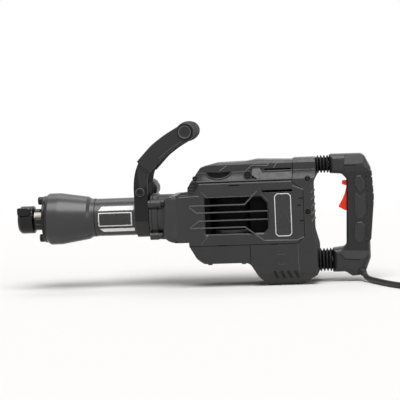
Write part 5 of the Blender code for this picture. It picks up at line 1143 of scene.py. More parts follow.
def make_strap():
    """Steel strap that hugs the barrel from below and stands up as two flat legs that lean to the rear."""
    inner = BARREL_RADIUS + GAP
    outer = inner + STRAP_THICKNESS
    turns = [math.pi + math.pi * step / 48 for step in range(49)]
    outside = [(outer * math.cos(turn), outer * math.sin(turn)) for turn in turns]
    inside = [(inner * math.cos(turn), inner * math.sin(turn)) for turn in reversed(turns)]
    outline = [(-outer, STRAP_TOP)] + outside + [(outer, STRAP_TOP), (inner, STRAP_TOP)]
    outline += inside + [(-inner, STRAP_TOP)]
    piece = prism("strap", outline, STRAP_X - 2 * STRAP_HALF, STRAP_X + 2 * STRAP_HALF + LEG_LEAN, "YZ")
    rise = STRAP_TOP - CLAMP_HEIGHT
    bend = [(STRAP_X + LEG_LEAN * lean, 0, CLAMP_HEIGHT + rise * up) for lean, up in LEG_SHARES]
    path = [(STRAP_X, -2 * outer)] + [(place.x, place.z) for place in smooth_route(bend, 4)]
    keep(piece, prism("side_view", ribbon(path, STRAP_HALF), -2 * outer, 2 * outer))
    soften(piece, 0.6)
    cut(piece, rod("bolt_hole", BOLT_HOLE, -60, 60, "Y", (STRAP_X, 0, CLAMP_HEIGHT), SMALL))
    coat(piece, "black_satin")
    paint_where(piece, "arm_black", lambda x, y, h: h > CLAMP_HEIGHT + 10 or h < -8)
    return put(piece, None, "side_handle", "clamp_strap")


def make_saddle():
    """Block between the strap's legs that presses on top of the barrel."""
    half = BARREL_RADIUS
    foot, roof = half * 0.7, CLAMP_HEIGHT + 16
    block = rounded([(-half, foot), (half, foot), (half, roof, 4), (-half, roof, 4)])
    piece = soften(prism("saddle", block, STRAP_X - STRAP_HALF + 1, STRAP_X + STRAP_HALF - 1, "YZ"), 1)
    cut(piece, rod("barrel_bed", BARREL_RADIUS + GAP, STRAP_X - 40, STRAP_X + 40, "X", segments=FINE))
    cut(piece, rod("bolt_hole", BOLT_HOLE, -60, 60, "Y", (STRAP_X, 0, CLAMP_HEIGHT), SMALL))
    # The saddle is painted near-black as the shade between the strap's legs
    coat(piece, "shade_and_seam_black")
    return put(piece, None, "side_handle", "saddle_block")


def make_clamp():
    """Clamp bolt with its hex head on the near side and its fluted knob on the far side."""
    centre = (STRAP_X, 0, CLAMP_HEIGHT)
    seat, end, radius = CLAMP_SEAT, KNOB_END, KNOB_RADIUS
    bolt = rod("clamp_screw", 5, -seat - 1, end - 6, "Y", centre, SMALL)
    head = turned("head", rounded([
        (0, -seat - 7), (8, -seat - 7, 0.8), (9, -seat - 5.4, 0.8), (9, -seat), (0, -seat),
    ]), "Y", centre, MEDIUM)
    cut(head, prism("key", hexagon(4.6, (STRAP_X, CLAMP_HEIGHT)), -seat - 10, -seat - 4))
    fuse(bolt, head)
    coat(bolt, "pale_and_highlight_grey")

    def in_key_or_on_shank(x, y, h):
        return math.hypot(x - STRAP_X, h - CLAMP_HEIGHT) < 7 or y > -seat

    # The key and the shank are painted black, the key as the shade in its hollow; the rest of the head is
    # pale grey
    paint_where(bolt, "black_satin", in_key_or_on_shank)
    put(bolt, None, "side_handle", "clamp_bolt")
    profile = rounded([
        (BOLT_HOLE, seat), (11, seat, 0.6), (12, seat + 4, 2), (radius - 2, seat + 7, 2),
        (radius, seat + 10, 2), (radius, end - 4, 3), (radius - 4, end, 3), (0, end),
        (0, end - 5), (BOLT_HOLE, end - 5),
    ])
    knob = turned("knob_cap", profile, "Y", centre, FINE)
    for step in range(KNOB_FLUTES):
        turn = 2 * math.pi * (step + 0.5) / KNOB_FLUTES
        reach = radius + 4.5
        place = (STRAP_X + reach * math.cos(turn), 0, CLAMP_HEIGHT + reach * math.sin(turn))
        cut(knob, rod("flute", 5.5, seat + 5, end + 2, "Y", place, SMALL))
    return put(knob, "grip_plastic", "knob", "clamp_knob")


def arm_path(step):
    """Centre line of an arm, from the strap's leg up and back to the grip."""
    foot = STRAP_TOP - ARM_WIDTH / 2
    run = SIDE_GRIP_X - STRAP_X
    rise = SIDE_GRIP_HEIGHT - foot
    places = [(STRAP_X + run * across, 0, foot + rise * up) for across, up in ARM_SHARES]
    return [Vector((place.x, place.z)) for place in smooth_route(places, step)]


def arm_outline():
    """Side view of an arm: a band of even width along its path that ends in a round eye."""
    path = arm_path(5)
    end = path[-1]
    ahead = (end - path[-2]).normalized()
    half = ARM_WIDTH / 2
    radius = half + ARM_EYE_RIM
    back = math.sqrt(radius ** 2 - half ** 2)
    band = ribbon([place for place in path if (end - place).dot(ahead) > back] + [end - ahead * back], half)
    heading = math.atan2(ahead.y, ahead.x)
    sweep = math.pi - math.asin(half / radius)
    turns = [heading + sweep * (step / 32 * 2 - 1) for step in range(1, 32)]
    eye = [(end.x + radius * math.cos(turn), end.y + radius * math.sin(turn)) for turn in turns]
    return band[:len(band) // 2] + eye + band[len(band) // 2:]


def make_arm(side, label):
    """Curved flat arm outside a leg of the strap, with a round eye and a pale bead along one edge as a
    painted highlight.
    """
    outer = CLAMP_SEAT + ARM_THICKNESS
    low, high = between(side, CLAMP_SEAT, outer)
    piece = soften(prism("arm_" + label + "_bar", arm_outline(), low, high), 1.6)
    eye = (SIDE_GRIP_X, 0, SIDE_GRIP_HEIGHT)
    cut(piece, rod("eye_hole", GRIP_ROD_HOLE, low - 1, high + 1, "Y", eye, SMALL))
    put(piece, "arm_black", "side_handle", "arm_" + label)
    # Pale bead along one edge of the arm, as a painted highlight
    line = arm_path(5)
    line = ribbon(line, ARM_WIDTH / 2 - 4)[len(line) // 3:len(line) - 3]
    beads("arm_line_" + label, lines_at([line], side * (outer - 0.1)), 0.6, "pale_and_highlight_grey", "side_handle")


def make_side_grip():
    """Ribbed rubber grip on a steel rod whose round caps show outside the arms."""
    half = CLAMP_SEAT - GAP
    pitch = 2 * half / GRIP_RIBS
    profile = [(GRIP_ROD_HOLE, -half), (SIDE_GRIP_RADIUS - 2.4, -half)]
    for rib in range(GRIP_RIBS):
        start = -half + pitch * rib
        swell = 1.4 * math.sin(math.pi * (rib + 0.5) / GRIP_RIBS)
        low, high = SIDE_GRIP_RADIUS - 2.4 + swell, SIDE_GRIP_RADIUS - 1.1 + swell
        shape = ((low, 0.1), (high - 0.3, 0.28), (high, 0.45), (high, 0.65), (high - 0.3, 0.82))
        profile += [(radius, start + share * pitch) for radius, share in shape]
    profile += [(SIDE_GRIP_RADIUS - 2.4, half), (GRIP_ROD_HOLE, half)]
    centre = (SIDE_GRIP_X, 0, SIDE_GRIP_HEIGHT)
    grip = turned("grip_sleeve", profile, "Y", centre, FINE)
    put(grip, "grip_rubber", "side_handle", "side_grip")
    seat = CLAMP_SEAT + ARM_THICKNESS + GAP
    cap = seat + 5
    end = [
        (0, cap - 1.2), (10.4, cap - 1.2, 0.6), (11.2, cap, 0.5), (13.4, cap, 0.8), (14.5, cap - 1.6, 0.8),
        (14.5, seat), (6, seat),
    ]
    outline = [(corner[0], -corner[1], *corner[2:]) for corner in end] + end[::-1]
    bar = turned("grip_bar", rounded(outline), "Y", centre, FINE)
    # The caps are painted near-black as shade, with a pale ring on the rim as a painted highlight
    coat(bar, "shade_and_seam_black")

    def from_middle(x, h):
        return math.hypot(x - SIDE_GRIP_X, h - SIDE_GRIP_HEIGHT)

    paint_where(bar, "arm_black", lambda x, y, h: from_middle(x, h) < 10.5)
    paint_where(bar, "pale_and_highlight_grey", lambda x, y, h: 10.5 < from_middle(x, h) < 12.6)
    return put(bar, None, "side_handle", "grip_rod")


# Moulded body

def body_profile():
    """Cross-section of the whole moulded body, seen from behind."""
    half = [
        (FOOT_HALF_WIDTH, FLOOR, 12),
        (BODY_HALF_WIDTH - 3, FLOOR + BELLY_SHOULDER, 16),
        (BODY_HALF_WIDTH, LOWER_SEAM),
        (BODY_HALF_WIDTH, UPPER_SEAM + 2, 3),
        (RIDGE_HALF_WIDTH, RIDGE_FOOT, 2),
        (RIDGE_HALF_WIDTH - 1, RIDGE_TOP - RIDGE_CHAMFER, 3),
        (RIDGE_HALF_WIDTH - RIDGE_CHAMFER, RIDGE_TOP, 2),
    ]
    return half + [(-corner[0], *corner[1:]) for corner in reversed(half)]


def belly_outline(top, rear):
    """Side view of the lower housing, with its deep belly under the motor."""
    return [
        (BELLY_FRONT_X, top),
        (BELLY_FRONT_X, LOWER_SEAM),
        (BELLY_FRONT_X + 14, LOWER_SEAM - 25, 14),
        (BELLY_FRONT_X + 28, LOWER_SEAM - 35.5, 12),
        (BELLY_STEP_X - 4, LOWER_SEAM - 35.5, 16),
        (BELLY_STEP_X + 13, LOWER_SEAM - 64, 40),
        (BELLY_STEP_X + 32, FLOOR, 22),
        (BELLY_SEAM_X - 3, FLOOR, 30),
        (BELLY_SEAM_X + 10 + rear, FLOOR + 4),
        (BELLY_SEAM_X + rear, FLOOR + 34),
        (BELLY_SEAM_X + rear, top),
    ]


def ridge_outline(bottom, rear):
    """Side view of the gear cover, with its stepped ridge and its sloping front."""
    front = CASE_TOP + GAP
    return [
        (BELLY_FRONT_X + 1, min(bottom, front)),
        (BELLY_FRONT_X + 1, front + 14, 6),
        (BELLY_FRONT_X + 17, RIDGE_FOOT, 6),
        (BELLY_FRONT_X + 25, RIDGE_TOP - 11.5, 4),
        (BELLY_FRONT_X + 55, RIDGE_TOP - 4.5),
        (BELLY_FRONT_X + 113, RIDGE_TOP - RIDGE_STEP),
        (BELLY_FRONT_X + 134, RIDGE_TOP),
        (TAIL_SEAM_X + rear, RIDGE_TOP - RIDGE_FALL),
        (TAIL_SEAM_X + rear, bottom),
        (PANEL_SHELF_X, bottom),
        (PANEL_SHELF_X, min(bottom, front)),
    ]


def panel_outline():
    """Side view of a side cover, with its chamfered rear corners."""
    return [
        (PANEL_FRONT_X, LOWER_SEAM + GAP),
        (PANEL_FRONT_X, CASE_TOP, 5),
        (PANEL_SHELF_X + GAP, CASE_TOP),
        (PANEL_SHELF_X + GAP, UPPER_SEAM - GAP),
        (TAIL_SEAM_X, UPPER_SEAM - GAP),
        (TAIL_SEAM_X, UPPER_SEAM - 5),
        (PANEL_REAR_X, UPPER_SEAM - 20),
        (PANEL_REAR_X, LOWER_SEAM + 13.5),
        (BELLY_SEAM_X, LOWER_SEAM + GAP),
    ]


def tail_outline(front):
    """Side view of the tail cover, waisted between the two handle bosses."""
    return [
        (TAIL_SEAM_X + front, RIDGE_TOP),
        (TAIL_REAR_X, RIDGE_TOP, 5),
        (TAIL_REAR_X, UPPER_ROD_HEIGHT - 20, 6),
        (TAIL_REAR_X - TAIL_WAIST, UPPER_ROD_HEIGHT - 36, 20),
        (TAIL_REAR_X - TAIL_WAIST, LOWER_ROD_HEIGHT + 58, 30),
        (TAIL_REAR_X - 1, LOWER_ROD_HEIGHT + 28, 12),
        (TAIL_REAR_X - 1, LOWER_ROD_HEIGHT - 24, 5),
        (TAIL_REAR_X - 10, LOWER_ROD_HEIGHT - 29, 8),
        (BELLY_SEAM_X + 10 + front, FLOOR + 4),
        (BELLY_SEAM_X + front, FLOOR + 34),
        (BELLY_SEAM_X + front, LOWER_SEAM),
        (PANEL_REAR_X + front, LOWER_SEAM + 13.5),
        (PANEL_REAR_X + front, UPPER_SEAM - 20),
        (TAIL_SEAM_X + front, UPPER_SEAM - 5),
    ]


def shell(name, outer, inner, reach):
    """Moulded shell: a side outline kept to the body profile, hollowed by a wall inside both."""
    ends = (min(corner[0] for corner in inner) - 50, max(corner[0] for corner in inner) + 50)
    piece = prism(name, rounded(outer), -reach, reach)
    keep(piece, prism("profile", rounded(body_profile()), *ends, "YZ"))
    hollow = prism("hollow", rounded(inner), -reach - 10, reach + 10)
    keep(hollow, prism("inner_profile", rounded(inset(body_profile(), WALL)), *ends, "YZ"))
    return cut(piece, hollow)


def skin_patch(name, outline, side, proud):
    """Raised patch with a side-view outline that follows the body's skin."""
    piece = prism(name, outline, *between(side, 10, 70))
    ends = (min(place[0] for place in outline) - 5, max(place[0] for place in outline) + 5)
    keep(piece, prism("outside", rounded(inset(body_profile(), -proud)), *ends, "YZ"))
    return cut(piece, prism("inside", rounded(inset(body_profile(), 1.0)), ends[0] - 5, ends[1] + 5, "YZ"))


def chin_room():
    """Room under the covers' front end, ahead of the belly."""
    room = rectangle(PANEL_FRONT_X - 12, LOWER_SEAM - 5, BELLY_FRONT_X - GAP, CHIN)
    return prism("chin_room", room, -80, 80)


def gear_room(grow):
    """Plan of the gear chamber, or of the deck round it when grown by a wall."""
    reach = CRANK_GEAR_RADIUS + 2 + grow
    front, rear = CRANK_X - reach, GEAR_ROOM_REAR_X + grow
    nose, corner = reach - 0.1, GEAR_ROOM_ROUND + grow
    return rounded([
        (front, -reach, nose), (rear, -reach, corner), (rear, reach, corner), (front, reach, nose),
    ])


def make_crankcase():
    """Cast case: bolted front flange, boxed throat, crank chamber and gear deck."""
    flange_rear = CASE_FRONT_X + CASE_FLANGE
    neck_rear = flange_rear + CASE_NECK
    radius = BARREL_FLANGE_RADIUS
    piece = turned("case_casting", rounded([
        (0, CASE_FRONT_X), (radius, CASE_FRONT_X, 1), (radius, flange_rear, 1.5),
        (radius - 2, flange_rear, 0.5), (radius - 2, neck_rear + 1), (0, neck_rear + 1),
    ]))
    for y, z in barrel_bolt_places():
        fuse(piece, rod("lug", LUG_RADIUS, CASE_FRONT_X, flange_rear, "X", (0, y, z)))
    half = BODY_HALF_WIDTH - GAP
    throat = [(-half, CHIN, 12), (half, CHIN, 12), (half, CASE_TOP, 9), (-half, CASE_TOP, 9)]
    shoulder = ((11, -15), (6.5, -10), (3, -5), (0.9, 0), (0, 5))
    stations = [(depth, neck_rear + along) for depth, along in shoulder] + [(0, PANEL_FRONT_X - GAP / 2)]
    rings = []
    for depth, station in stations:
        rings.append([(station, y, z) for y, z in rounded(inset(throat, depth))])
    fuse(piece, skinned("throat", rings))
    for y, z in barrel_bolt_places():
        cut(piece, rod("bolt_pocket", 9.5, flange_rear, flange_rear + 25, "X", (0, y, z), SMALL))
        fuse(piece, rod("lug_foot", LUG_RADIUS - 1, flange_rear - 1, flange_rear + LUG_FOOT, "X", (0, y, z)))
    gusset = [
        (flange_rear - 1, -20), (neck_rear + 3, -20), (neck_rear + 3, CASE_BOTTOM + 1),
        (neck_rear, CASE_BOTTOM + 1), (flange_rear - 1, -radius + 4),
    ]
    fuse(piece, soften(prism("gusset", gusset, -24, 24), 2))
    inner = BODY_HALF_WIDTH - WALL - GAP
    foot = LOWER_SEAM + GAP
    tongue = rounded([(-inner, foot, 4), (inner, foot, 4), (inner, CASE_TOP, 6), (-inner, CASE_TOP, 6)])
    fuse(piece, prism("tongue", tongue, PANEL_FRONT_X - 6, CRANK_X - CHAMBER_RADIUS + 6, "YZ"))
    crank = (CRANK_X, 0, 0)
    ceiling = CRANK_DISC_HIGH + GAP
    fuse(piece, rod("drum", CHAMBER_RADIUS + WALL, CHAMBER_FLOOR, DECK_TOP, "Z", crank, FINE))
    fuse(piece, prism("deck", gear_room(WALL), ceiling, UPPER_SEAM - GAP, "XY"))
    cut(piece, prism("gear_chamber", gear_room(0), DECK_TOP, UPPER_SEAM + 5, "XY"))
    cut(piece, rod("cylinder_bore", CYLINDER_OUTER + GAP, CASE_FRONT_X - 5, CRANK_X, "X", segments=FINE))
    cut(piece, rod("chamber", CHAMBER_RADIUS, CHAMBER_FLOOR - 40, ceiling, "Z", crank, FINE))
    for x, bore in BEARING_BORES:
        cut(piece, rod("bearing_bore", bore, CRANK_DISC_HIGH - 5, DECK_TOP + 5, "Z", (x, 0, 0)))
    cut(piece, chin_room())
    coat(piece, "case_paint")
    # Everything of the case behind the panels' front edge is painted near-black as the shade inside the vent
    paint_where(piece, "shade_and_seam_black", lambda x, y, h: x > PANEL_FRONT_X + 1)
    return put(piece, None, "body", "crankcase")


def make_case_bolts():
    """Hex bolts behind the case flange, one in each lug."""
    head = hex_head("lug_head", 13, 9, 4, 10)
    seat = CASE_FRONT_X + CASE_FLANGE + LUG_FOOT
    places = [((seat, y, z), (1, 0, 0)) for y, z in barrel_bolt_places()]
    fasteners("case_bolts", head, places, "black_gloss", "body")


def make_lower_housing():
    """Lower housing with the deep belly, a motor shelf, a stator ring and a bearing boss."""
    reach = BODY_HALF_WIDTH + 10
    outer = belly_outline(LOWER_SEAM, 0)
    piece = shell("belly_shell", outer, inset(belly_outline(LOWER_SEAM + 3 * WALL, 4 * WALL), WALL), reach)
    shelf = prism("shelf", rounded(outer), -reach, reach)
    keep(shelf, prism("profile", rounded(body_profile()), BELLY_FRONT_X, BELLY_SEAM_X + 50, "YZ"))
    slab = rectangle(BELLY_FRONT_X, SHELF_LOW, BELLY_SEAM_X + 50, SHELF_HIGH)
    keep(shelf, prism("slab", slab, -reach - 1, reach + 1))
    cut(shelf, rod("shelf_hole", 39, FLOOR, 0, "Z", segments=FINE))
    fuse(piece, shelf)
    fuse(piece, turned("cup", rectangle(45.3, SHELF_LOW + 2, 48, LOWER_SEAM), "Z", segments=FINE))
    fuse(piece, turned("boss", rectangle(16.3, FLOOR + 3, 20.3, FLOOR + 20), "Z", segments=MEDIUM))
    fuse(piece, rod("boss_floor", 17.3, FLOOR + 3, FLOOR + 8.7, "Z"))
    return put(piece, "shell_plastic", "body", "lower_housing")


def make_gear_cover():
    """Top cover with sloping ledges, a stepped ridge, faceted lumps, slots and screw pockets."""
    reach = BODY_HALF_WIDTH + 10
    bottom = UPPER_SEAM + GAP
    inner = inset(ridge_outline(bottom - 8 * WALL, 4 * WALL), WALL)
    piece = shell("ridge_shell", ridge_outline(bottom, 0), inner, reach)
    for x, radius, roof in ((CRANK_X, 11, RIDGE_TOP - RIDGE_STEP), (IDLER_X, 8, RIDGE_TOP)):
        boss = rod("boss", radius + GAP + WALL, 71, roof - WALL / 2, "Z", (x, 0, 0))
        cut(boss, rod("bush", radius + GAP, 70, 82.3, "Z", (x, 0, 0)))
        fuse(piece, boss)
    shoulder = [(57.4, 67.6), (50.5, 80.4), (29.5, 82.2), (29.5, 66.5), (57.4, 66.5)]
    facets = [(-54, 77), (-39, 67), (-33, 82), (-41, 91), (-52, 88)]
    limit = [(-58, 60), (58, 60), (58, 67.5), (41, 88), (28, 92), (-28, 92), (-41, 88), (-58, 67.5)]
    slot = rounded(rectangle(-30, 83.4, 22.5, 86.8, 1.5))
    for side in (-1, 1):
        fuse(piece, prism("shoulder", on_side(side, shoulder), -37, TAIL_SEAM_X, "YZ"))
        lump = prism("lump", facets, *between(side, 26, 57))
        fuse(piece, keep(lump, prism("limit", limit, -60, -25, "YZ")))
        fuse(piece, rod("screw_boss", 8.8, *between(side, 36, 50), "Y", RIDGE_SCREW))
        cut(piece, rod("pocket", 6.8, *between(side, 43, 60), "Y", RIDGE_SCREW, SMALL))
        cut(piece, prism("slot", slot, *between(side, 28.4, 40)))
        cut(piece, rod("front_pocket", 5.5, *between(side, 32, 60), "Y", FRONT_SCREW, SMALL))
    coat(piece, "shell_plastic")
    # The slot's inside is painted near-black as the shade of the recess
    paint_where(piece, "shade_and_seam_black", lambda x, y, h: -31 < x < 23 and 83 < h < 87 and 28.2 < abs(y) < 30.4)
    return put(piece, None, "body", "gear_cover")


def rib_paths():
    """Centre lines of the vent ribs; the outer two turn away at the rear."""
    top, upper, lower, bottom = RIB_HEIGHTS
    front = VENT_LEFT_X - 30
    return [
        [(front, top), (VENT_RIGHT_X - 44, top), (VENT_RIGHT_X - 19, top + 25)],
        [(front, top - 3), (front + 14, upper), (VENT_RIGHT_X + 1, upper)],
        [(front, bottom + 1), (front + 18, lower), (VENT_RIGHT_X + 1, lower)],
        [(front, bottom), (VENT_RIGHT_X - 45, bottom), (VENT_RIGHT_X - 8, bottom - 28)],
    ]


def make_side_cover(side, label):
    """Side panel with a wide vent, four raised ribs across it and a shallow slot."""
    through = between(side, BODY_HALF_WIDTH - 20, BODY_HALF_WIDTH + 10)
    piece = prism("side_panel_" + label, rounded(panel_outline()), *through)
    ends = (PANEL_FRONT_X - 20, PANEL_REAR_X + 20)
    keep(piece, prism("profile", rounded(body_profile()), *ends, "YZ"))
    cut(piece, prism("inside", rounded(inset(body_profile(), WALL)), *ends, "YZ"))
    vent = [
        (VENT_LEFT_X, VENT_LOW, 3), (VENT_RIGHT_X - 8, VENT_LOW, 3), (VENT_RIGHT_X, VENT_LOW + 8, 3),
        (VENT_RIGHT_X, VENT_HIGH - 14, 4), (VENT_RIGHT_X - 12, VENT_HIGH, 4), (VENT_LEFT_X, VENT_HIGH, 3),
    ]
    cut(piece, prism("vent", rounded(vent), *through))
    tray = ((-4, BODY_HALF_WIDTH + 0.5), (0.5, BODY_HALF_WIDTH - 3.2))
    cut(piece, loft("tray", [(rounded(inset(vent, depth)), side * station) for depth, station in tray]))
    outside = BODY_HALF_WIDTH + 0.6
    chamfer = [(outside, 60.3), (outside, 70.2), (BODY_HALF_WIDTH - 6.3, 70.2)]
    cut(piece, prism("top_chamfer", on_side(side, chamfer), *ends, "YZ"))
    cut(piece, prism("slot", [(-32, 41.8), (25, 41.8), (25, 46.6), (-36, 46.6)], *through))
    cut(piece, chin_room())
    proud = between(side, BODY_HALF_WIDTH - WALL, BODY_HALF_WIDTH + RIB_PROUD)
    for path in rib_paths():
        fuse(piece, prism("rib", ribbon(path, RIB_HALF), *proud))
    coat(piece, "shell_plastic")
    # The ribs' outer faces take the pale grey as a painted highlight, where their tops catch the light
    paint_where(piece, "pale_and_highlight_grey", lambda x, y, h: abs(y) > BODY_HALF_WIDTH + 0.2)
    return put(piece, None, "body", "side_cover_" + label)


def make_shade_sheet(side, label):
    """Near-black sheet behind the rear half of the vent, as painted shade, clear of the crank drum."""
    plate = prism("air_baffle_" + label, rounded(rectangle(-60, -46, -16, 35, 4)), *between(side, 45, 46.5))
    return put(soften(plate, 0.5), "shade_and_seam_black", "body")


def make_panel_lines(side, label):
    """Pale raised lines round the vent, on the ridge and along the panel's edges, as painted highlights where
    those edges catch the light.
    """
    skin = side * (BODY_HALF_WIDTH + 0.1)
    flat = [
        [(-154.5, 47.6), (-143, VENT_HIGH + 2), (-57, VENT_HIGH + 2), (-46, 42)],
        [(-157.8, -57), (-142, VENT_LOW - 2), (-66, VENT_LOW - 2)],
        [(-36.5, 39.2), (-22, 24.9)],
    ]
    beads("panel_lines_" + label, lines_at(flat, skin), 0.7, "pale_and_highlight_grey", "body")
    ridge = side * (RIDGE_HALF_WIDTH - 0.4)
    marks = [
        [(-118.5, 85.3), (-104.2, 95)],
        [(-67.3, 83.4), (-53.9, 94.5), (-24.1, 92.8), (-16, 101)],
        [(-11.8, 88), (-4.5, 98)],
    ]
    paths = [[(u, ridge + side * (90 - v) * 0.06, v) for u, v in mark] for mark in marks]
    beads("ridge_lines_" + label, paths, 0.8, "painted_highlight_grey", "body")
    edges = [
        [(-34.8, -51.5), (30.9, -52.8), (44.8, -47.3)],
        [(25.7, 53.3), (46.6, 45.2)],
        [(-198.7, 37.5), (-158.3, 39)],
    ]
    front_edge = [(-217.5, 38.6), (-205, 38.6)]
    paths = lines_at(edges, skin) + lines_at([front_edge], side * (BODY_HALF_WIDTH - 1.8))
    beads("edge_lines_" + label, paths, 0.6, "painted_highlight_grey", "body")


def make_seam_lines(side, label):
    """Dark gaskets in the seams between the covers, a pale bead on the belly's rear lip as a painted
    highlight and dark beads in the clip slots as painted shade.
    """
    skin = side * (BODY_HALF_WIDTH - 0.2)
    half = RIDGE_HALF_WIDTH
    low = side * (BODY_HALF_WIDTH - 1.8)
    foot = side * (BODY_HALF_WIDTH - 3)
    panel = [
        (BELLY_FRONT_X, LOWER_SEAM), (BELLY_SEAM_X, LOWER_SEAM), (PANEL_REAR_X, LOWER_SEAM + 13.5),
        (PANEL_REAR_X, UPPER_SEAM - 20), (TAIL_SEAM_X, UPPER_SEAM - 5), (TAIL_SEAM_X, UPPER_SEAM + 2),
    ]
    ridge = [
        (skin, UPPER_SEAM + 2), (side * half, RIDGE_FOOT), (side * (half - 1), RIDGE_TOP - RIDGE_CHAMFER),
    ]
    paths = lines_at([panel], skin) + [
        [(TAIL_SEAM_X, y, h) for y, h in ridge],
        [(BELLY_STEP_X - 1.4, skin, LOWER_SEAM), (BELLY_STEP_X - 1.4, low, -94)],
    ]
    beads("seam_lines_" + label, paths, 0.6, "shade_and_seam_black", "body")
    # The lip's pale bead is a painted highlight
    lip = [(BELLY_SEAM_X, skin, LOWER_SEAM), (BELLY_SEAM_X, low, -96), (BELLY_SEAM_X + 1, foot, FLOOR + 31)]
    beads("belly_lip_" + label, [lip], 0.6, "pale_and_highlight_grey", "body")
    # The clip slots are dark beads on the skin, as painted shade
    clips = [
        (-99, -78, 57.8), (-125, -107.5, LOWER_SEAM), (-21.5, -6.3, LOWER_SEAM),
        (37, 45, 28.5), (34, 41, 14.7), (38, 45, -15.5),
    ]
    slots = [[(left, skin, h), (right, skin, h)] for left, right, h in clips]
    beads("clip_slots_" + label, slots, 1.0, "shade_and_seam_black", "body")


def make_front_block(side, label):
    """Dark stepped block at the front end of the gear cover."""
    front = BELLY_FRONT_X + 1.5
    outline = starting_at(front, [(0, 45), (11, 44), (21, 58), (21, 66), (11, 70), (0, 57)])
    block = skin_patch("front_block_" + label, outline, side, 0.9)
    for step in range(3):
        low = 47 + 6 * step
        cut(block, prism("groove", rectangle(front - 2, low, front + 12, low + 2), *between(side, 57.5, 80)))
    return put(block, "black_satin", "body")


def chamfered(left, low, right, high, corner, radius):
    """Upright plate outline with its corners cut off and eased."""
    places = [
        (left + corner, low), (right - corner, low), (right, low + corner), (right, high - corner),
        (right - corner, high), (left + corner, high), (left, high - corner), (left, low + corner),
    ]
    return [(*place, radius) for place in places]


def make_plate():
    """Bare plate on the near side panel: a pale rim round a dark field."""
    outline = chamfered(-10.5, -44.8, 22, 39, 5, 1.5)
    skin = BODY_HALF_WIDTH - 0.2
    proud = BODY_HALF_WIDTH + 0.9
    rim = prism("plate_rim", rounded(outline), -proud, -skin)
    cut(rim, prism("field", rounded(inset(outline, 1.5)), -70, 70))
    put(rim, "white_plate", "body")
    level = BODY_HALF_WIDTH + 0.5
    field = prism("plate_field", rounded(inset(outline, 1.55)), -level, -skin)
    put(field, "plate_fill", "body")


def make_belly_square():
    """Plain raised square on the near side of the belly."""
    square = rectangle(-10, -101, 7, -80, 1.5)
    hole = prism("hole", rounded(inset(square, 2)), -70, 70)
    put(cut(skin_patch("belly_square", rounded(square), -1, 0.8), hole), "shell_plastic", "body")


def make_belly_slots(side, label):
    """Four slanting slots on the belly: thin raised patches painted near-black as the shade of a recess."""
    slots = []
    for step in range(4):
        left = -20 + 13.5 * step
        outline = [(left + 7, -128), (left + 13.5, -128), (left + 7, -112), (left + 0.5, -112)]
        slots.append(skin_patch("slot", outline, side, 0.25))
    put(joined("belly_slots_" + label, slots), "black_satin", "body")


def make_tail_cover():
    """Rear cover of the body, with ribs across its back and the two bosses that the handle rods slide in."""
    reach = BODY_HALF_WIDTH + 10
    piece = shell("tail_shell", tail_outline(GAP), inset(tail_outline(-4 * WALL), WALL), reach)
    half = BODY_HALF_WIDTH + 1
    front, rear = TAIL_SEAM_X - 60, TAIL_REAR_X + 1
    plan = [(front, -half), (rear, -half, 9), (rear, half, 9), (front, half)]
    keep(piece, prism("plan", rounded(plan), FLOOR - 5, RIDGE_TOP + 5, "XY"))
    for height in (UPPER_ROD_HEIGHT, LOWER_ROD_HEIGHT):
        centre = (0, 0, height)
        cut(piece, rod("rod_bore", ROD_RADIUS + GAP, TAIL_SEAM_X, TAIL_REAR_X + 5, "X", centre, SMALL))
    waist = TAIL_REAR_X - TAIL_WAIST
    for height in (36, 22, 8, -6, -20):
        fuse(piece, rod("back_rib", 2.6, -half + 2, half - 2, "Y", (waist - 1, 0, height), SMALL))
    for side in (-1, 1):
        for place in TAIL_SCREWS:
            cut(piece, rod("pocket", 5.2, *between(side, 46, 70), "Y", place, SMALL))
    coat(piece, "shell_plastic")
    paint_where(piece, "matte_plastic", lambda x, y, h: x > waist - 6, (1, 0, 0))
    return put(piece, None, "body", "tail_cover")


def make_oil_cap():
    """Wide dished filler cap on the near ledge, cut straight where it meets the ridge."""
    slope = math.atan2(RIDGE_FOOT - UPPER_SEAM - 2, BODY_HALF_WIDTH - RIDGE_HALF_WIDTH)
    radius = OIL_CAP_RADIUS
    piece = turned("filler_cap", rounded([
        (0, -1), (radius, -1), (radius, 1.3, 0.4), (radius - 1.6, 1.9, 0.4), (radius - 3.2, 1.2, 0.3),
        (0, 0.4),
    ]), "Z", segments=FINE)
    place = Vector((OIL_CAP_X, -RIDGE_HALF_WIDTH, RIDGE_FOOT))
    aimed(piece, place, place + Vector((0, -math.sin(slope), math.cos(slope))))
    edge = -RIDGE_HALF_WIDTH - GAP
    cut(piece, prism("ridge_side", rectangle(edge, 50, 40, 130), OIL_CAP_X - 60, OIL_CAP_X + 60, "YZ"))
    # The dish is painted near-black as the shade of its recess; its rim keeps the shell's colour
    coat(piece, "shade_and_seam_black")

    def on_rim(x, y, h):
        return math.hypot(x - OIL_CAP_X, (y + RIDGE_HALF_WIDTH) / math.cos(slope)) > radius - 2.4

    paint_where(piece, "shell_plastic", on_rim)
    return put(piece, None, "body", "oil_cap")


def make_body_screws():
    """Socket screws of the covers, on both sides and under the belly."""
    head = socket_head("cover_screw", 4.6, 4, 3, 4)
    places = []
    for side in (-1, 1):
        for (x, _, h), seat in zip((*TAIL_SCREWS, RIDGE_SCREW, FRONT_SCREW), (50, 50, 43, 37)):
            places.append(((x, side * seat, h), (0, side, 0)))
        places += [((x, side * 36, BELLY_SCREW_HEIGHT), (0, 0, -1)) for x in BELLY_SCREWS_X]
    fasteners("cover_screws", head, places, "black_gloss", "body")


# Rear handle

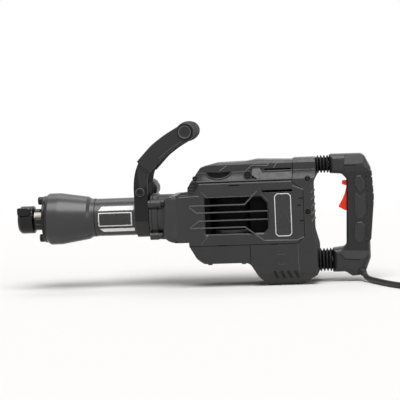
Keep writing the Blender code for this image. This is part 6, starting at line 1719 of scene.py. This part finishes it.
def handle_outline():
    """Side view of the rear handle: an upper arm, an upright grip and a lower arm."""
    return starting_at(HANDLE_FRONT_X, [
        (0, 109.5, 3), (67, 109, 15), (81, 80, 14), (84, 20, 60), (75, -66, 20), (75, -97, 12),
        (62, -130, 12), (38, -132, 6), (25, -123, 8), (0, -123, 3),
        (0, -76, 3), (28, -73, 10), (33, 60, 8), (24, 70, 8), (0, 72, 3),
    ])


def pad_outline():
    """Side view of the rubber pad let into the back of the grip."""
    return starting_at(HANDLE_FRONT_X, [
        (73, 74, 3), (82.5, 74, 3), (85.3, 20, 60), (77, -62, 3), (68, -62, 3), (76, 20, 60),
    ])


def make_handle(side, label):
    """One half of the rear handle, hollow inside, with rounded outer edges."""
    corners = handle_outline()
    sections = [(rounded(corners), side * GAP / 2)]
    steps = 9
    for step in range(steps + 1):
        turn = math.pi / 2 * step / steps
        depth = HANDLE_ROUND * (1 - math.cos(turn))
        station = HANDLE_HALF_WIDTH - HANDLE_ROUND * (1 - math.sin(turn))
        sections.append((rounded(inset(corners, depth)), side * station))
    piece = loft("handle_shell_" + label, sections)
    front = HANDLE_FRONT_X
    rim = [(13, 71), (31.5, 86.8), (104, 85.5), (104, -101.5), (25.7, -98), (8.5, -79.4)]
    floor = [(13, 59), (31.5, 74), (104, 73), (104, -84), (25.7, -80.5), (8.5, -62)]
    cut(piece, loft("waist", [
        (starting_at(front, rim), side * (HANDLE_HALF_WIDTH + 0.6)),
        (starting_at(front, floor), side * GRIP_FLANK),
    ]))
    shoulder = on_side(side, [(HANDLE_HALF_WIDTH + 0.5, 88), (12, 112.5), (30, 112.5), (30, 88)])
    cut(piece, prism("shoulder_facet", shoulder, front + 31, front + 100, "YZ"))
    for back, height in starting_at(front, [(82, 62), (83.5, 36), (83, 5), (80.5, -34), (78, -64)]):
        slit = rectangle(back - 11, height - 0.8, back + 8, height + 0.8)
        cut(piece, prism("pad_slit", slit, *between(side, HANDLE_HALF_WIDTH - 10, 30)))
    seam = starting_at(front, [(70, 68), (72.3, 40), (72, 5), (69.5, -34), (66, -68)])
    cut(piece, prism("pad_seam", ribbon(seam, 0.6), *between(side, GRIP_FLANK - 1, 30)))
    pocket = rounded(inset(corners, HANDLE_WALL))
    cut(piece, prism("pocket", pocket, *between(side, -1, HANDLE_HALF_WIDTH - HANDLE_WALL)))
    low, high = TRIGGER_SLOT
    width = TRIGGER_HALF_WIDTH + GAP
    cut(piece, prism("trigger_slot", rectangle(front + 20, low, TRIGGER_X + 12, high), -width, width))
    bore, reach = TRUNNION_RADIUS + GAP, TRUNNION_HALF + GAP
    cut(piece, rod("trunnion_bore", bore, -reach, reach, "Y", (TRIGGER_X, 0, TRIGGER_HEIGHT), SMALL))
    for height in (UPPER_ROD_HEIGHT, LOWER_ROD_HEIGHT):
        cut(piece, rod("rod_bore", ROD_RADIUS + GAP, front - 5, front + 8, "X", (0, 0, height), SMALL))
    rebate = rounded(inset(pad_outline(), -GAP))
    cut(piece, prism("pad_rebate", rebate, -PAD_HALF_WIDTH - GAP, PAD_HALF_WIDTH + GAP))
    start, end = guard_line()
    cut(piece, aimed(rod("guard_bore", GUARD_RADIUS + GAP, -4, (end - start).length, "Z"), start, end))
    coat(piece, "shell_plastic")
    paint_where(piece, "grip_plastic", lambda x, y, h: x > front + 28 and -62 < h < 66)
    return put(piece, None, "rear_handle", "handle_" + label)


def make_grip_panels(side, label):
    """Raised panels with sloping edges on the grip's flank, and dark beads as painted shade in the creases
    where the arms begin.
    """
    panels = [
        [(53, 66), (62, 66), (68.5, 54), (68.5, 40), (61, 30), (52, 38), (48, 48), (48, 57)],
        [(51, 33), (59, 25.5), (68.5, 34), (68.5, -12), (62, -20), (52, -20), (46.5, -12), (46.5, 26)],
        [(51, -25), (61, -25), (66, -33), (64, -58), (58, -66), (49, -66), (43, -58), (44.5, -34)],
    ]
    layers = ((0, GRIP_FLANK - 0.4), (0.5, GRIP_FLANK + 0.2), (1.9, GRIP_FLANK + 1.1))
    made = []
    for panel in panels:
        corners = starting_at(HANDLE_FRONT_X, panel)
        made.append(loft("panel", [(inset(corners, depth), side * station) for depth, station in layers]))
    put(joined("grip_panels_" + label, made), "shell_plastic", "rear_handle")
    paths = []
    for crease in ([(13, 71.6), (31.5, 86.8), (54, 86.4)], [(5, -75.8), (25.7, -98), (54, -99.5)]):
        start, bend, end = starting_at(HANDLE_FRONT_X, crease)
        path = []
        for share in (0.05, 0.15, 0.35, 0.6, 1):
            place = Vector(start).lerp(Vector(bend), share)
            fall = HANDLE_ROUND - min(abs(place.y - start[1]), HANDLE_ROUND)
            skin = HANDLE_HALF_WIDTH - HANDLE_ROUND + math.sqrt(HANDLE_ROUND ** 2 - fall ** 2)
            path.append((place.x, side * (skin - 0.2), place.y))
        paths.append(path + [(end[0], side * (HANDLE_HALF_WIDTH - 0.2), end[1])])
    beads("handle_creases_" + label, paths, 0.6, "shade_and_seam_black", "rear_handle")


def make_grip_pad():
    """Rubber pad on the back of the grip, with finger grooves across it."""
    piece = soften(prism("back_pad", rounded(pad_outline()), -PAD_HALF_WIDTH, PAD_HALF_WIDTH), 1.0)
    for step in range(8):
        height = -50 + 112 * step / 7
        across = HANDLE_FRONT_X + 84.9 - 0.0011 * (height - 20) ** 2
        cut(piece, rod("groove", 1.8, -30, 30, "Y", (across, 0, height), SMALL))
    return put(piece, "grip_rubber", "rear_handle", "grip_back_pad")


def make_trigger():
    """Wide trigger that swings on moulded trunnions at its top."""
    outline = starting_at(TRIGGER_X, [
        (-18, 56.5, 1.5), (5, 58, 4), (5, 46, 4), (-4, 40), (-6, 1, 3), (-13, -2.5, 1.5), (-27, 5.5, 2),
        (-18.5, 20, 30), (-13, 32, 30), (-9.5, 46.5, 1), (-18, 49.5, 1.5),
    ])
    blade = prism("trigger_blade", rounded(outline), -TRIGGER_HALF_WIDTH, TRIGGER_HALF_WIDTH)
    piece = soften(blade, 0.9)
    centre = (TRIGGER_X, 0, TRIGGER_HEIGHT)
    fuse(piece, rod("trunnions", TRUNNION_RADIUS, -TRUNNION_HALF, TRUNNION_HALF, "Y", centre, SMALL))
    return put(piece, "trigger_red", "trigger", "trigger")


def make_handle_mount(label, height, radius, seat):
    """Bellows and damper spring between the tail and one arm of the handle."""
    low = seat + GAP
    high = HANDLE_FRONT_X - GAP
    samples = BELLOWS_FOLDS * FOLD_STEPS
    bore = radius - FOLD_DEPTH - 1.2
    outside = []
    for step in range(samples + 1):
        share = step / samples
        wave = 0.5 - 0.5 * math.cos(2 * math.pi * BELLOWS_FOLDS * share)
        outside.append((radius - FOLD_DEPTH + FOLD_DEPTH * wave ** 0.9, low + (high - low) * share))
    inside = [(bore + (reach - radius + FOLD_DEPTH) * 0.8, along) for reach, along in reversed(outside)]
    piece = turned("bellows_skin_" + label, outside + inside, "X", (0, 0, height), 72)
    coat(piece, "bellows_rubber")
    # The folds' valleys are painted near-black as shade
    paint_where(piece, "shade_and_seam_black", lambda x, y, h: math.hypot(y, h - height) < radius - 2.2)
    put(piece, None, "body", "bellows_" + label, crease=60)
    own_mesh(piece)
    count = SPRING_TURNS * SPRING_STEPS
    length = high - low - 2 * WIRE_RADIUS
    along = Vector((1, 0, 0))
    leans = [2 * math.pi * side / WIRE_SIDES for side in range(WIRE_SIDES)]
    rings = []
    for index in range(count + 1):
        turn = 2 * math.pi * index / SPRING_STEPS
        spoke = Vector((0, math.cos(turn), math.sin(turn)))
        middle = Vector((low + WIRE_RADIUS + length * index / count, 0, height)) + SPRING_RADIUS * spoke
        ways = [spoke * math.cos(lean) + along * math.sin(lean) for lean in leans]
        rings.append([middle + WIRE_RADIUS * way for way in ways])
    spring = skinned("spring_" + label, rings)
    put(spring, "ground_steel", "body", "damper_spring_" + label, crease=60)
    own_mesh(spring)


# Inside of the hammer

def make_buffer():
    """Rubber buffer ring behind the tool nose, with rounded lips."""
    front = HEX_END_X + 2 + 2 * GAP
    outline = rounded(rectangle(ANVIL_BORE, front, CYLINDER_OUTER, front + 24, 1.5))
    put(turned("buffer", outline, segments=FINE), "bellows_rubber", "body", "buffer_ring")


INNER_FINISHES = {
    "ground_steel": (
        "impact_bolt", "impact_bolt_guide", "cylinder_sleeve", "striker", "wrist_pin", "crank_pin",
        "guide_rod_upper", "guide_rod_lower",
    ),
    "turned_steel": ("piston", "crank_bearing", "idler_bearing", "motor_top_bearing", "motor_foot_bearing"),
    "gear_steel": ("connecting_rod", "crankshaft", "crank_gear", "intermediate_gear"),
    "core_stack": ("armature",),
    "field_stack": ("stator",),
    "resin_brown": ("brush_carrier",),
    "case_paint": ("sump_plate",),
    "plate_fill": ("switch_body", "cooling_fan"),
}


def dress_inner_nodes():
    for finish, names in INNER_FINISHES.items():
        for name in names:
            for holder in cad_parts[name].material_slots:
                holder.material = FINISH[finish]


# Stage and light

def make_floor():
    """Wide pale floor that keeps the hammer's shadow and turns plain white far away."""
    mesh = bmesh.new()
    bmesh.ops.create_circle(mesh, cap_ends=True, segments=64, radius=60)
    data = bpy.data.meshes.new("floor")
    mesh.to_mesh(data)
    mesh.free()
    data.transform(Matrix.Translation((0, 0, -0.0003)))
    floor = new_object("floor", data)
    material = bpy.data.materials.new("floor_paper")
    material.use_nodes = True
    tree = material.node_tree
    link = tree.links.new
    shader = tree.nodes["Principled BSDF"]
    shader.inputs["Base Color"].default_value = (0.93, 0.925, 0.92, 1)
    shader.inputs["Roughness"].default_value = 0.9
    shader.inputs["Specular IOR Level"].default_value = 0.1
    white = tree.nodes.new("ShaderNodeEmission")
    coords = tree.nodes.new("ShaderNodeTexCoord")
    length = tree.nodes.new("ShaderNodeVectorMath")
    length.operation = "LENGTH"
    fade = tree.nodes.new("ShaderNodeMapRange")
    fade.interpolation_type = "SMOOTHSTEP"
    fade.inputs["From Min"].default_value = 0.9
    fade.inputs["From Max"].default_value = 2.4
    mix = tree.nodes.new("ShaderNodeMixShader")
    link(coords.outputs["Object"], length.inputs[0])
    link(length.outputs["Value"], fade.inputs["Value"])
    link(fade.outputs["Result"], mix.inputs["Fac"])
    link(shader.outputs["BSDF"], mix.inputs[1])
    link(white.outputs["Emission"], mix.inputs[2])
    link(mix.outputs["Shader"], tree.nodes["Material Output"].inputs["Surface"])
    data.materials.append(material)


def make_world():
    """White surroundings, with soft light that is strongest from overhead."""
    world = bpy.data.worlds.new("studio")
    bpy.context.scene.world = world
    world.use_nodes = True
    tree = world.node_tree
    link = tree.links.new
    glow = tree.nodes["Background"]
    coords = tree.nodes.new("ShaderNodeTexCoord")
    split = tree.nodes.new("ShaderNodeSeparateXYZ")
    ramp = tree.nodes.new("ShaderNodeValToRGB")
    ramp.color_ramp.elements[0].position = 0.0
    ramp.color_ramp.elements[0].color = (0.12, 0.115, 0.11, 1)
    ramp.color_ramp.elements[1].position = 0.9
    ramp.color_ramp.elements[1].color = (0.3, 0.285, 0.27, 1)
    link(coords.outputs["Generated"], split.inputs["Vector"])
    link(split.outputs["Z"], ramp.inputs["Fac"])
    link(ramp.outputs["Color"], glow.inputs["Color"])
    white = tree.nodes.new("ShaderNodeBackground")
    white.inputs["Color"].default_value = (1, 1, 1, 1)
    path = tree.nodes.new("ShaderNodeLightPath")
    seen = path.outputs["Is Camera Ray"]
    for ray in ("Is Glossy Ray", "Is Transmission Ray"):
        either = tree.nodes.new("ShaderNodeMath")
        either.operation = "MAXIMUM"
        link(seen, either.inputs[0])
        link(path.outputs[ray], either.inputs[1])
        seen = either.outputs["Value"]
    mix = tree.nodes.new("ShaderNodeMixShader")
    link(seen, mix.inputs["Fac"])
    link(glow.outputs["Background"], mix.inputs[1])
    link(white.outputs["Background"], mix.inputs[2])
    link(mix.outputs["Shader"], tree.nodes["World Output"].inputs["Surface"])


def make_lamps():
    """A broad key lamp in front and above, a lamp from behind and a low lamp from the right."""
    for name, energy, spread, towards in (
        ("key_lamp", 2.45, 46, (-0.1, 0.5, -1.0)),
        ("overhead_lamp", 0.35, 28, (0.05, -0.55, -1.0)),
        ("side_lamp", 0.3, 25, (-0.85, 0.5, -0.3)),
    ):
        data = bpy.data.lights.new(name, "SUN")
        data.energy = energy
        data.angle = math.radians(spread)
        lamp = new_object(name, data)
        lamp.rotation_euler = Vector(towards).to_track_quat("-Z", "Y").to_euler()


bpy.context.scene.view_settings.view_transform = "Standard"
make_camera()
FINISH = make_finishes()
FASTENERS = fastener_tree()
BEADS = bead_tree()
make_cord()
make_tool_nose()
make_retainer_lever()
make_front_bolts()
make_front_cover()
make_barrel()
make_barrel_plates()
make_strap()
make_saddle()
make_clamp()
make_side_grip()
make_crankcase()
make_case_bolts()
make_lower_housing()
make_gear_cover()
make_tail_cover()
make_oil_cap()
make_body_screws()
for near_far, sign in (("near", -1), ("far", 1)):
    make_arm(sign, near_far)
    make_side_cover(sign, near_far)
    make_shade_sheet(sign, near_far)
    make_panel_lines(sign, near_far)
    make_seam_lines(sign, near_far)
    make_front_block(sign, near_far)
    make_belly_slots(sign, near_far)
    make_handle(sign, near_far)
    make_grip_panels(sign, near_far)
make_plate()
make_belly_square()
make_grip_pad()
make_trigger()
make_handle_mount("upper", UPPER_ROD_HEIGHT, 18, TAIL_REAR_X)
make_handle_mount("lower", LOWER_ROD_HEIGHT, 23, TAIL_REAR_X - 1)
make_buffer()
dress_inner_nodes()
make_floor()
make_world()
make_lamps()
bpy.context.view_layer.update()
